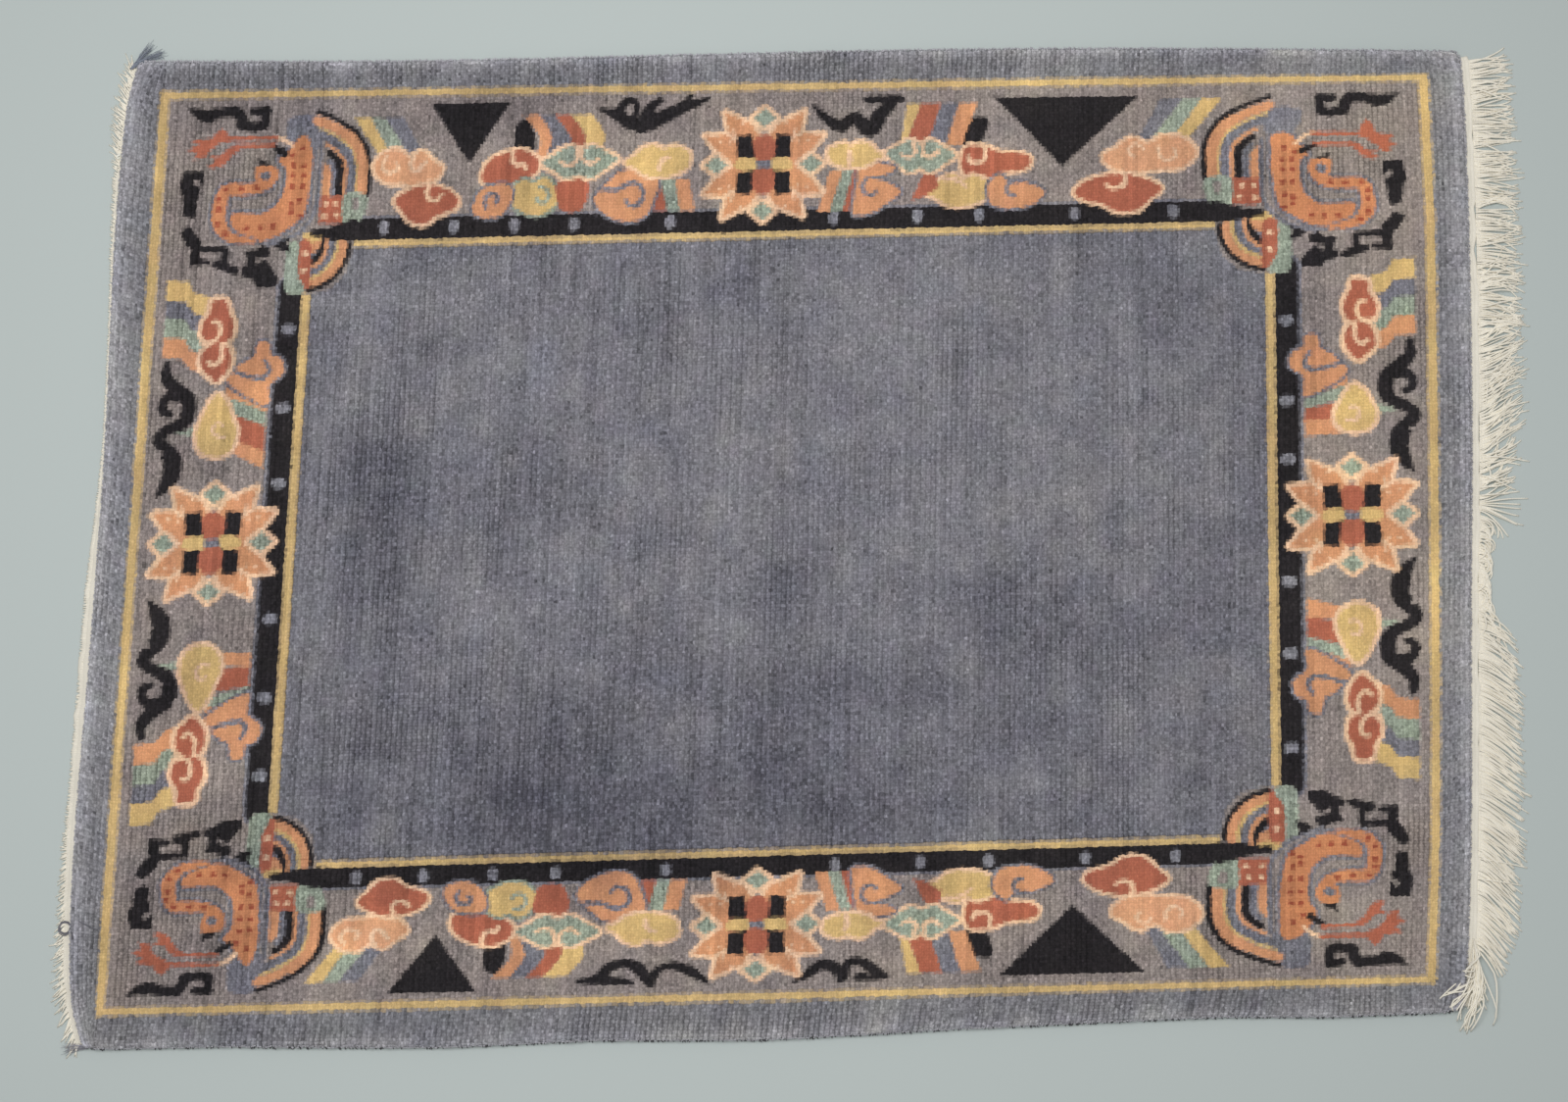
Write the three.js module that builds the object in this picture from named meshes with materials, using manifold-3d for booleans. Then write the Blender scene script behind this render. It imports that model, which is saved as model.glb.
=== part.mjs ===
// A hand-knotted wool rug, lying flat, with a bare cotton end strip at both short ends.
// The right-hand strip carries the long warp fringe, and the left-hand one only short cut tufts.
// Millimetres, +Z up, +X along the warp towards the long fringe, +Y across the rug.

import * as THREE from 'three';
import { mergeVertices } from 'three/addons/utils/BufferGeometryUtils.js';
import Module from 'manifold-3d';

const wasm = await Module();
wasm.setup();

// Driving dimensions of the pile. The rug was woven slightly askew, so its far side lies further right.
const NEAR_LENGTH = 1378;
const FAR_LENGTH = 1393;
const LEFT_WIDTH = 1021;
const RIGHT_WIDTH = 993;
const SKEW = 43;
const RUG_HEIGHT = 12;
const EDGE_ROUNDING = 3;
const CORNER_RADIUS = 10;

// How far each side bows outwards from the straight line between its corners, at fractions of that line.
const LONG_SIDE_BOWS = [
  { along: 0, near: 0, far: 0 },
  { along: 0.2, near: 7, far: -2 },
  { along: 0.4, near: 9, far: 2 },
  { along: 0.6, near: 8, far: 6 },
  { along: 0.8, near: 3, far: 5 },
  { along: 1, near: 0, far: 0 },
];
const END_BOWS = [
  { across: 0, left: 0, right: 0 },
  { across: 0.06, left: 17, right: 4 },
  { across: 0.2, left: 21, right: 8 },
  { across: 0.4, left: 16, right: 9 },
  { across: 0.6, left: 13, right: 11 },
  { across: 0.8, left: 15, right: 9 },
  { across: 0.94, left: 11, right: 5 },
  { across: 1, left: 0, right: 0 },
];

// End strips of bare warp and weft, parted a little from the pile.
const STRIP_GAP = 0.3;
const STRIP_HEIGHT = 3;
const RIGHT_STRIP_WIDTH = 10;
const LEFT_STRIP_WIDTHS = [
  { across: 0, width: 11 },
  { across: 0.45, width: 10 },
  { across: 0.6, width: 5 },
  { across: 0.72, width: 5 },
  { across: 0.86, width: 9 },
  { across: 1, width: 12 },
];

// Fringe strands, three-sided and flat underneath. Lean is in degrees from straight out, counter-clockwise.
const STRAND_PITCH = 4;
const STRAND_ROOT_WIDTH = 2.2;
const STRAND_TIP_WIDTH = 1.2;
const STRAND_HEIGHT = 2.2;
const STRAND_ROOT_DEPTH = 4;
const STRAND_SEGMENTS = 3;
const LENGTH_SCATTER = 0.14;
const RIGHT_FRINGE = [
  { across: 0.01, lean: -44, length: 46 },
  { across: 0.06, lean: -38, length: 54 },
  { across: 0.2, lean: -26, length: 55 },
  { across: 0.36, lean: -14, length: 53 },
  { across: 0.42, lean: -8, length: 42 },
  { across: 0.46, lean: 0, length: 24 },
  { across: 0.52, lean: 8, length: 34 },
  { across: 0.58, lean: 20, length: 52 },
  { across: 0.72, lean: 6, length: 52 },
  { across: 0.86, lean: -4, length: 50 },
  { across: 0.99, lean: 4, length: 42 },
];
const LEFT_TUFT_PITCH = 7;
const LEFT_TUFTS = [
  { from: 0.015, to: 0.19, lean: 32, length: 13 },
  { from: 0.9, to: 0.985, lean: -34, length: 13 },
];

const SIDE_STEPS = 26;
const END_STEPS = 30;
const CORNER_STEPS = 4;

const corners = {
  nearLeft: new THREE.Vector2(-NEAR_LENGTH / 2 - SKEW / 2, -LEFT_WIDTH / 2),
  nearRight: new THREE.Vector2(NEAR_LENGTH / 2 - SKEW / 2, -RIGHT_WIDTH / 2),
  farRight: new THREE.Vector2(FAR_LENGTH / 2 + SKEW / 2, RIGHT_WIDTH / 2),
  farLeft: new THREE.Vector2(-FAR_LENGTH / 2 + SKEW / 2, LEFT_WIDTH / 2),
};

// A value at a fraction of a side, read from a table between its rows.
function tableValue(rows, fractionName, fraction, column) {
  const found = rows.findIndex((row) => row[fractionName] >= fraction);
  const next = found < 0 ? rows.length - 1 : Math.max(found, 1);
  const low = rows[next - 1];
  const high = rows[next];
  const share = (fraction - low[fractionName]) / (high[fractionName] - low[fractionName]);
  return THREE.MathUtils.lerp(low[column], high[column], THREE.MathUtils.clamp(share, 0, 1));
}

// One side as a smooth curve, for corners taken counter-clockwise, so outwards is on the right hand.
function bowedSide(start, end, stations) {
  const outward = new THREE.Vector2(end.y - start.y, start.x - end.x).normalize();
  const points = stations.map(({ at, bow }) => start.clone().lerp(end, at).addScaledVector(outward, bow));
  return new THREE.SplineCurve(points);
}

const forward = (rows, fractionName, column) =>
  rows.map((row) => ({ at: row[fractionName], bow: row[column] }));
const backward = (rows, fractionName, column) =>
  rows.map((row) => ({ at: 1 - row[fractionName], bow: row[column] })).reverse();

const sides = {
  near: bowedSide(corners.nearLeft, corners.nearRight, forward(LONG_SIDE_BOWS, 'along', 'near')),
  right: bowedSide(corners.nearRight, corners.farRight, forward(END_BOWS, 'across', 'right')),
  far: bowedSide(corners.farRight, corners.farLeft, backward(LONG_SIDE_BOWS, 'along', 'far')),
  left: bowedSide(corners.farLeft, corners.nearLeft, backward(END_BOWS, 'across', 'left')),
};

// The closed outline of the pile: each side without its ends, then a rounded corner to the next side.
function pileOutline() {
  const ring = [
    { curve: sides.near, steps: SIDE_STEPS },
    { curve: sides.right, steps: END_STEPS },
    { curve: sides.far, steps: SIDE_STEPS },
    { curve: sides.left, steps: END_STEPS },
  ];
  const trims = ring.map(({ curve }) => CORNER_RADIUS / curve.getLength());
  const points = [];
  ring.forEach(({ curve, steps }, i) => {
    const next = (i + 1) % ring.length;
    for (let step = 0; step <= steps; step += 1) {
      points.push(curve.getPointAt(THREE.MathUtils.lerp(trims[i], 1 - trims[i], step / steps)));
    }
    const corner = new THREE.QuadraticBezierCurve(
      points.at(-1),
      curve.getPointAt(1),
      ring[next].curve.getPointAt(trims[next]),
    );
    points.push(...corner.getPoints(CORNER_STEPS).slice(1, -1));
  });
  return points;
}

// Shared vertices are merged, so that a geometry is one closed shell.
function closedShell(geometry) {
  geometry.deleteAttribute('normal');
  geometry.deleteAttribute('uv');
  return mergeVertices(geometry, 1e-4);
}

// The knotted pile on its foundation: one flat slab, rounded where the pile rolls over the edge.
function pileSlab() {
  const geometry = new THREE.ExtrudeGeometry(new THREE.Shape(pileOutline()), {
    depth: RUG_HEIGHT - 2 * EDGE_ROUNDING,
    bevelThickness: EDGE_ROUNDING,
    bevelSize: EDGE_ROUNDING,
    bevelOffset: -EDGE_ROUNDING,
    bevelSegments: 2,
  });
  return closedShell(geometry.translate(0, 0, EDGE_ROUNDING));
}

// A point beside a curve, at a distance to its right, which is outside the pile.
function besideCurve(curve, fraction, distance) {
  const tangent = curve.getTangentAt(fraction);
  return curve.getPointAt(fraction).add(new THREE.Vector2(tangent.y, -tangent.x).multiplyScalar(distance));
}

// The bare end strip along one end curve, from near its first corner to near its last.
function endStrip(curve, widthAt) {
  const trim = CORNER_RADIUS / curve.getLength();
  const inner = [];
  const outer = [];
  for (let step = 0; step <= END_STEPS; step += 1) {
    const fraction = THREE.MathUtils.lerp(trim, 1 - trim, step / END_STEPS);
    inner.push(besideCurve(curve, fraction, STRIP_GAP));
    outer.push(besideCurve(curve, fraction, STRIP_GAP + widthAt(fraction)));
  }
  const shape = new THREE.Shape([...inner.reverse(), ...outer]);
  return closedShell(new THREE.ExtrudeGeometry(shape, { depth: STRIP_HEIGHT, bevelEnabled: false }));
}

// One strand: a tapering three-sided rod, flat on the floor, bending from straight out to its lean.
function strand(root, outward, leanDegrees, length) {
  const lean = THREE.MathUtils.degToRad(leanDegrees);
  const positions = [];
  const point = root.clone();
  for (let step = 0; step <= STRAND_SEGMENTS; step += 1) {
    const share = step / STRAND_SEGMENTS;
    const heading = outward.clone().rotateAround(new THREE.Vector2(), lean * share);
    const half = THREE.MathUtils.lerp(STRAND_ROOT_WIDTH, STRAND_TIP_WIDTH, share) / 2;
    const sideways = new THREE.Vector2(-heading.y, heading.x).multiplyScalar(half);
    const ridge = STRAND_HEIGHT * (half / (STRAND_ROOT_WIDTH / 2));
    positions.push(point.x + sideways.x, point.y + sideways.y, 0);
    positions.push(point.x - sideways.x, point.y - sideways.y, 0);
    positions.push(point.x, point.y, ridge);
    point.addScaledVector(heading, length / STRAND_SEGMENTS);
  }
  const indices = [0, 1, 2];
  for (let step = 0; step < STRAND_SEGMENTS; step += 1) {
    for (let corner = 0; corner < 3; corner += 1) {
      const here = step * 3 + corner;
      const beside = step * 3 + ((corner + 1) % 3);
      indices.push(here, here + 3, beside + 3, here, beside + 3, beside);
    }
  }
  const tip = STRAND_SEGMENTS * 3;
  indices.push(tip, tip + 2, tip + 1);
  const geometry = new THREE.BufferGeometry();
  geometry.setAttribute('position', new THREE.Float32BufferAttribute(positions, 3));
  geometry.setIndex(indices);
  return geometry;
}

// Strand lengths are uneven, the same way on every run.
const scatteredLength = (length, number) =>
  length * (1 + LENGTH_SCATTER * (2 * THREE.MathUtils.seededRandom(number) - 1));

// A strand rooted in a strip, at a fraction of its curve.
function rootedStrand(curve, fraction, stripWidth, lean, length) {
  const tangent = curve.getTangentAt(fraction);
  const outward = new THREE.Vector2(tangent.y, -tangent.x);
  const root = besideCurve(curve, fraction, STRIP_GAP + stripWidth - STRAND_ROOT_DEPTH);
  return strand(root, outward, lean, length + STRAND_ROOT_DEPTH);
}

// The long fringe of the right end, one strand for each small bundle of warps.
function rightFringe() {
  const length = sides.right.getLength();
  const first = RIGHT_FRINGE[0].across;
  const last = RIGHT_FRINGE.at(-1).across;
  const count = Math.floor(((last - first) * length) / STRAND_PITCH);
  return Array.from({ length: count }, (_, i) => {
    const fraction = THREE.MathUtils.lerp(first, last, i / (count - 1));
    const lean = tableValue(RIGHT_FRINGE, 'across', fraction, 'lean');
    const fullLength = tableValue(RIGHT_FRINGE, 'across', fraction, 'length');
    const strandLength = scatteredLength(fullLength, i + 1);
    return rootedStrand(sides.right, fraction, RIGHT_STRIP_WIDTH, lean, strandLength);
  });
}

// The left end curve runs from the far corner to the near one.
const leftStripWidth = (fraction) => tableValue(LEFT_STRIP_WIDTHS, 'across', 1 - fraction, 'width');

// The short cut tufts near both corners of the left end.
function leftTufts() {
  const length = sides.left.getLength();
  return LEFT_TUFTS.flatMap((group) => {
    const count = Math.floor(((group.to - group.from) * length) / LEFT_TUFT_PITCH);
    return Array.from({ length: count }, (_, i) => {
      const fraction = 1 - THREE.MathUtils.lerp(group.from, group.to, i / (count - 1));
      const tuftLength = scatteredLength(group.length, 1000 * group.to + i);
      return rootedStrand(sides.left, fraction, leftStripWidth(fraction), group.lean, tuftLength);
    });
  });
}

function toSolid(geometry) {
  const mesh = new wasm.Mesh({
    numProp: 3,
    vertProperties: Float32Array.from(geometry.attributes.position.array),
    triVerts: Uint32Array.from(geometry.index.array),
  });
  return new wasm.Manifold(mesh);
}

// A strip and its strands joined into one body.
function fused(strip, strands) {
  const solid = strands.reduce((joined, geometry) => joined.add(toSolid(geometry)), toSolid(strip));
  const mesh = solid.getMesh();
  const geometry = new THREE.BufferGeometry();
  geometry.setAttribute('position', new THREE.BufferAttribute(mesh.vertProperties, 3));
  geometry.setIndex(new THREE.BufferAttribute(mesh.triVerts, 1));
  return geometry;
}

function namedMesh(name, geometry, colour, roughness) {
  geometry.computeVertexNormals();
  const material = new THREE.MeshStandardMaterial({ color: colour, roughness, metalness: 0 });
  const mesh = new THREE.Mesh(geometry, material);
  mesh.name = name;
  return mesh;
}

const rug = new THREE.Group();
rug.add(namedMesh('pile_body', pileSlab(), '#737278', 0.95));
const rightStrip = endStrip(sides.right, () => RIGHT_STRIP_WIDTH);
rug.add(namedMesh('fringed_end', fused(rightStrip, rightFringe()), '#d7d2c1', 0.9));
const leftStrip = endStrip(sides.left, leftStripWidth);
rug.add(namedMesh('cut_end', fused(leftStrip, leftTufts()), '#d7d2c1', 0.9));

// The origin lies on the floor, under the middle of everything.
const middle = new THREE.Box3().setFromObject(rug).getCenter(new THREE.Vector3());
rug.position.set(-middle.x, -middle.y, 0);

export default rug;
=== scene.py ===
import math

import bmesh
import bpy
import numpy as np
from bpy.props import FloatProperty, FloatVectorProperty, IntProperty, PointerProperty
from mathutils import Matrix, Vector


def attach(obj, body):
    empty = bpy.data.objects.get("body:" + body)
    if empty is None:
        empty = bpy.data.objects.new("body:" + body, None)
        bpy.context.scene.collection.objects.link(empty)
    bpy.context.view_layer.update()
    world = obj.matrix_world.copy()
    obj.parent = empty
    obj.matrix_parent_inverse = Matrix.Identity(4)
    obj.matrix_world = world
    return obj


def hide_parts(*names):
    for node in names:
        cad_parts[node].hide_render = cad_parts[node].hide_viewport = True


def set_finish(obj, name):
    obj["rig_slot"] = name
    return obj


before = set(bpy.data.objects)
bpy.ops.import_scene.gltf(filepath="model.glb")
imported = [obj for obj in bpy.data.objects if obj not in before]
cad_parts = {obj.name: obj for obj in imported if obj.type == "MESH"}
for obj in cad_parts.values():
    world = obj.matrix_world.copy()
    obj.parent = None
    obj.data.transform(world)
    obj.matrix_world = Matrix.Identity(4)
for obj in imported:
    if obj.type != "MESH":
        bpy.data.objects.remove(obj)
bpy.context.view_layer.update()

bl_info = {
    "name": "Hand-knotted Nepalese rug",
    "version": (1, 0, 0),
    "blender": (4, 5, 0),
    "location": "3D View > Sidebar > Rug",
    "description": "Builds a hand-knotted wool rug with its pile, foundation, end strips and fringe",
    "category": "Object",
}

MM = 0.001
# Where the random draws of each piece start.
SEEDS = {"pile": 71, "edge_tufts": 19, "strip": 23, "fringe": 47, "cut_end": 83, "loose_ends": 5}
# One turn of a yarn's twist, and one row of knots, in mm.
TWIST_PITCH = 6.0
KNOT_ROW = 5.08
# A length too small to matter, and one that is longer than the rug.
TINY = 1e-9
FAR_OFF = 1e9


def linear(hex_value):
    """An sRGB hex colour as linear red, green and blue."""
    parts = [int(hex_value[i:i + 2], 16) / 255 for i in (0, 2, 4)]
    return tuple(c / 12.92 if c <= 0.04045 else ((c + 0.055) / 1.055) ** 2.4 for c in parts)


def yarn_colour(label, use, hex_value):
    return FloatVectorProperty(
        name=label, description=use, default=linear(hex_value), subtype="COLOR", size=3, min=0, max=1)


def length_mm(label, use, millimetres):
    return FloatProperty(
        name=label, description=use, default=millimetres * MM, min=0, unit="LENGTH", precision=4)


class RugYarns(bpy.types.PropertyGroup):
    """Colours of the dyed wool and of the bare cotton."""

    field: yarn_colour("Field", "Slate wool of the plain middle", "717077")
    margin: yarn_colour("Margin", "Slate wool outside the outer gold line", "79787c")
    ground: yarn_colour("Border ground", "Mauve-grey wool behind the border motifs", "8a807c")
    gold: yarn_colour("Gold line", "Wool of both gold lines", "c1a573")
    black: yarn_colour("Black", "Wool of the band, frets, bats and triangles", "252224")
    orange: yarn_colour("Orange", "Wool of the cranes", "ba7d59")
    apricot: yarn_colour("Apricot", "Wool of the flowers, scrolls, stripes and wings", "c58d68")
    coral: yarn_colour("Coral", "Wool of the palest clouds", "ce9975")
    rust: yarn_colour("Rust", "Wool of the red clouds", "a4604b")
    teal: yarn_colour("Teal", "Wool of the green clouds and diamonds", "919a8b")
    ochre: yarn_colour("Ochre", "Wool of the yellow clouds and stripes", "c9aa72")
    slate: yarn_colour("Slate", "Wool of the grey stripes and curls", "73727a")
    slate_dot: yarn_colour("Band dots", "Grey wool of the dots in the black band", "7e7d84")
    slate_ground: yarn_colour("Shade", "Grey wool round the wings", "74747d")
    cream: yarn_colour("Outline", "Pale wool round the clouds and petals", "dcb797")
    deep_red: yarn_colour("Flecks", "Red wool of the flecks on the cranes", "8f4a38")
    cotton: yarn_colour("Cotton", "Unbleached cotton of the warps and end strips", "fdf7e8")


class RugPile(bpy.types.PropertyGroup):
    """Sizes of the pile and its foundation."""

    tuft_length: length_mm("Tuft along the warp", "Spacing of the tufts along the rug", 2.6)
    tuft_width: length_mm("Tuft along the weft", "Spacing of the tufts across the rug", 3.18)
    groove: length_mm("Groove", "Depth between neighbouring tufts", 1.5)
    roll: length_mm("Edge roll", "Distance over which the pile rolls down at the rim", 7)
    foundation: length_mm("Foundation", "Thickness of the knotted back", 1.8)


class RugFringe(bpy.types.PropertyGroup):
    """Sizes of the bare ends."""

    yarn_width: length_mm("Warp yarn", "Thickness of one fringe yarn", 1.75)
    pitch: length_mm("Yarn pitch", "Spacing of the fringe yarns along the end strip", 1.25)
    strip_width: length_mm("Strip width", "Width of the woven strip at the fringed end", 10)
    strip_height: length_mm("Strip height", "Height of the woven strips", 3)


class RugStage(bpy.types.PropertyGroup):
    """Floor, light and camera."""

    floor: yarn_colour("Floor", "Plain pale floor", "c0c9c7")
    sky: FloatProperty(name="Soft light", description="Strength of the even light", default=0.36, min=0)
    lamp: FloatProperty(name="Lamp", description="Power of the soft lamp above the rug",
                        default=35.3, min=0, unit="POWER")
    lens: FloatProperty(name="Lens", description="Focal length of the camera, in millimetres",
                        default=49.5, min=1)


# The chart: millimetres along and across the rug from the crossing of the outer gold lines.
CHART_LENGTH = 1326.0
CHART_WIDTH = 956.0
CHART_MARGIN = 38.0
CHART_SPARE = 6.0
WHOLE_LENGTH = CHART_LENGTH + 2 * CHART_MARGIN
WHOLE_WIDTH = CHART_WIDTH + 2 * CHART_MARGIN
BORDER_DEPTH = 160.0
CHART_STEP = 1.0
# How softly the colours of two yarns meet, and how far round a motif is looked at for that.
EDGE_BLEND = 2.2
EDGE_SPARE = 2.0
# Where the flowers of the short borders lie across the rug, and how far the right gold line bows out.
SIDE_FLOWER = 487.0
RIGHT_BOW = 3.0
# Usual width of an outline, overlap of neighbouring bands of a wing, and how far a curl winds in.
OUTLINE = 4.0
BAND_OVERLAP = 0.8
CURL_END = 0.45
# Half widths of the outer gold line at the ends and along the sides.
GOLD_END = 4.9
GOLD_SIDE = 4.2

# Where the gold lines cross on the rug, in mm, from the near side to the far side.
LINES_ALONG = (0.0, BORDER_DEPTH, CHART_LENGTH - BORDER_DEPTH, CHART_LENGTH)
LINES_ACROSS = (0.0, BORDER_DEPTH, CHART_WIDTH - BORDER_DEPTH, CHART_WIDTH)
CROSSINGS = np.array((
    ((-710.4, -470.9), (-703.3, -331.5), (-670.5, 308.7), (-662.1, 473.2)),
    ((-549.8, -469.8), (-542.4, -329.9), (-508.9, 309.4), (-500.3, 472.8)),
    ((465.3, -462.9), (470.0, -319.3), (490.9, 314.2), (496.0, 470.2)),
    ((617.9, -461.9), (628.9, -317.7), (657.3, 315.0), (659.3, 469.7)),
))


def smooth(points, closed=True, parts=6):
    """A round curve that passes through a few points."""
    points = np.asarray(points, float)
    held = np.pad(points, ((1, 2 if closed else 1), (0, 0)), "wrap" if closed else "edge")
    t = np.arange(parts)[:, None] / parts
    curve = []
    for a, b, c, d in zip(held, held[1:], held[2:], held[3:]):
        curve.append(0.5 * (2 * b + (c - a) * t + (2 * a - 5 * b + 4 * c - d) * t ** 2
                            + (3 * b - a - 3 * c + d) * t ** 3))
    if not closed:
        curve.append(points[-1:])
    return np.concatenate(curve)


def on_path(at, gone, path):
    """Points of a path at some lengths along it, where gone is the length at each of its own points."""
    return np.stack([np.interp(at, gone, column) for column in np.asarray(path).T], -1)


def thinned(path, count):
    """The same path with fewer points, spread evenly over its old ones."""
    return on_path(np.linspace(0, len(path) - 1, count), np.arange(len(path)), path)


def gap_to(place, start, side):
    """Distance to a straight stretch, and the share of it that lies before the nearest point."""
    off = place - start
    along = np.clip(off @ side / max(side @ side, TINY), 0, 1)
    return np.linalg.norm(off - along[..., None] * side, axis=-1), along


def inside_distance(place, points):
    """Signed distance to a closed outline, below nought inside it."""
    nearest = np.full(place.shape[:-1], FAR_OFF)
    inside = np.zeros(place.shape[:-1], bool)
    for a, b in zip(points, np.roll(points, -1, 0)):
        side = b - a
        nearest = np.minimum(nearest, gap_to(place, a, side)[0])
        crosses = (a[1] > place[..., 1]) != (b[1] > place[..., 1])
        rise = side[1] if abs(side[1]) > TINY else TINY
        inside ^= crosses & (place[..., 0] < a[0] + (place[..., 1] - a[1]) * side[0] / rise)
    return np.where(inside, -nearest, nearest)


def stroke_distance(place, points, widths):
    """Signed distance to a line whose width changes from point to point."""
    nearest = np.full(place.shape[:-1], FAR_OFF)
    for a, b, wide, wide_on in zip(points, points[1:], widths, widths[1:]):
        gap, along = gap_to(place, a, b - a)
        nearest = np.minimum(nearest, gap - (wide + (wide_on - wide) * along) / 2)
    return nearest


class Chart:
    """The pile's colours over the rug, laid yarn by yarn."""

    def __init__(self, yarns):
        self.yarns = yarns
        reach = CHART_MARGIN + CHART_SPARE
        self.u = np.arange(-reach, CHART_LENGTH + reach, CHART_STEP)
        self.v = np.arange(-reach, CHART_WIDTH + reach, CHART_STEP)
        self.colour = np.empty((len(self.v), len(self.u), 3))
        self.colour[:] = yarns["margin"]

    def lay(self, yarn, distance, points, reach):
        low = points.min(0) - reach - EDGE_SPARE
        high = points.max(0) + reach + EDGE_SPARE
        columns = slice(*np.searchsorted(self.u, (low[0], high[0])))
        rows = slice(*np.searchsorted(self.v, (low[1], high[1])))
        place = np.stack(np.meshgrid(self.u[columns], self.v[rows]), -1)
        cover = np.clip(0.5 - distance(place) / EDGE_BLEND, 0, 1)[..., None]
        patch = self.colour[rows, columns]
        patch += (self.yarns[yarn] - patch) * cover

    def fill(self, yarn, points, grow=0.0):
        self.lay(yarn, lambda place: inside_distance(place, points) - grow, points, max(grow, 0))

    def line(self, yarn, points, widths):
        points = np.asarray(points, float)
        widths = np.broadcast_to(widths, len(points)).astype(float)
        self.lay(yarn, lambda place: stroke_distance(place, points, widths), points, widths.max() / 2)

    def box(self, yarn, left, right, near, far):
        self.fill(yarn, np.array([(left, near), (right, near), (right, far), (left, far)], float))

    def at(self, u, v):
        """Colours at places on the chart, blended between its cells."""
        x = np.clip((u - self.u[0]) / CHART_STEP, 0, len(self.u) - 1.001)
        y = np.clip((v - self.v[0]) / CHART_STEP, 0, len(self.v) - 1.001)
        column, row = x.astype(int), y.astype(int)
        x, y = (x - column)[..., None], (y - row)[..., None]
        c = self.colour
        low = c[row, column] * (1 - x) + c[row, column + 1] * x
        high = c[row + 1, column] * (1 - x) + c[row + 1, column + 1] * x
        return low * (1 - y) + high * y


# Cloud forms over a unit box; the second number grows towards the rug's edge.
FORMS = {
    "twin": [(-1, 0), (-.75, .35), (-.4, .9), (-.05, .6), (.3, 1), (.72, .85), (1, .1), (.7, -.7),
             (.1, -.85), (-.5, -.95), (-.9, -.5)],
    "peak": [(-1, .1), (-.7, .6), (-.1, .9), (.5, .75), (1, .2), (.75, -.35), (.45, -.9), (0, -1),
             (-.35, -.6), (-.85, -.3)],
    "flag": [(-1, .85), (-.4, 1), (.1, .65), (.9, .45), (1, -.1), (.75, -.45), (.1, -.6), (-.4, -1),
             (-1, -.6)],
    "lens": [(-1, 0), (-.72, .45), (-.3, 1), (0, .72), (.3, 1), (.68, .62), (1, .15), (.7, -.4),
             (.3, -1), (0, -.78), (-.35, -1), (-.7, -.5)],
    "bun": [(-1, .2), (-.9, .6), (-.5, .9), (-.15, .72), (.15, 1), (.5, .78), (.72, .3), (1, -.1),
            (.7, -.42), (.45, -.8), (.05, -1), (-.5, -.88), (-.9, -.5)],
    "wedge": [(-1, -.8), (-.95, .1), (-.5, .7), (.2, 1), (.65, .8), (1, .25), (.85, -.3), (.4, -.7),
              (-.2, -1)],
    "pear": [(0, 1), (.45, .68), (.75, .2), (1, -.25), (.85, -.75), (.3, -1), (-.3, -1), (-.85, -.75),
             (-1, -.25), (-.75, .25), (-.45, .7)],
}


class Motifs:
    """Draws motifs on the chart through one placing: a corner, a half border or a side."""

    def __init__(self, chart, place):
        self.chart = chart
        self.place = place

    def form(self, yarn, points, outline=None, width=OUTLINE, sharp=False):
        points = self.place(np.asarray(points, float))
        if not sharp:
            points = smooth(points)
        if outline:
            self.chart.fill(outline, points, width)
        if yarn:
            self.chart.fill(yarn, points)

    def line(self, yarn, points, widths, sharp=False):
        points = np.asarray(points, float)
        path = np.column_stack([points, np.broadcast_to(widths, len(points))])
        if not sharp:
            path = smooth(path, closed=False)
        self.chart.line(yarn, self.place(path[:, :2]), path[:, 2])

    def dots(self, yarn, points, width):
        for u, v in points:
            self.line(yarn, [(u - 0.3, v), (u + 0.3, v)], width, sharp=True)

    def cloud(self, name, yarn, left, right, outer, inner, outline="cream", flip=1, width=OUTLINE):
        """One of the cloud forms, stretched over a box; depth grows inwards."""
        middle = np.array([(left + right) / 2, (outer + inner) / 2])
        half = np.array([(right - left) / 2 - width, (inner - outer) / 2 - width])
        self.form(yarn, middle + np.array(FORMS[name]) * half * (flip, -1), outline, width)

    def curl(self, yarn, centre, radius, start, sweep, width=3.4):
        """A hook that winds in towards its centre; angles in degrees."""
        turn = np.linspace(0, 1, 9)
        angle = np.radians(start + sweep * turn)
        reach = radius * (1 - (1 - CURL_END) * turn)
        points = np.column_stack([np.cos(angle) * reach, -np.sin(angle) * reach])
        self.line(yarn, points + centre, width, sharp=True)

    def ring(self, yarn, centre, radii, width, first, last):
        """A curved band about a centre, inside its two radii; angles in degrees."""
        share = np.linspace(0, 1, 17)
        angle = np.radians(first + (last - first) * share)
        points = np.column_stack([np.cos(angle), np.sin(angle)]) * (np.array(radii) - width / 2)
        self.line(yarn, points + centre, width + BAND_OVERLAP, sharp=True)

    def stripes(self, yarns, outer, inner, bulge=0.0):
        """Leaning stripes; each end gives its depth and the places where the stripes meet."""
        depth_out, cuts_out = outer
        depth_in, cuts_in = inner
        middle = (depth_out + depth_in) / 2
        edges = [smooth([(a, depth_out), ((a + b) / 2 + bulge, middle), (b, depth_in)], closed=False)
                 for a, b in zip(cuts_out, cuts_in)]
        for yarn, edge, next_edge in zip(yarns, edges, edges[1:]):
            self.form(yarn, np.concatenate([edge, next_edge[::-1]]), sharp=True)


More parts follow.
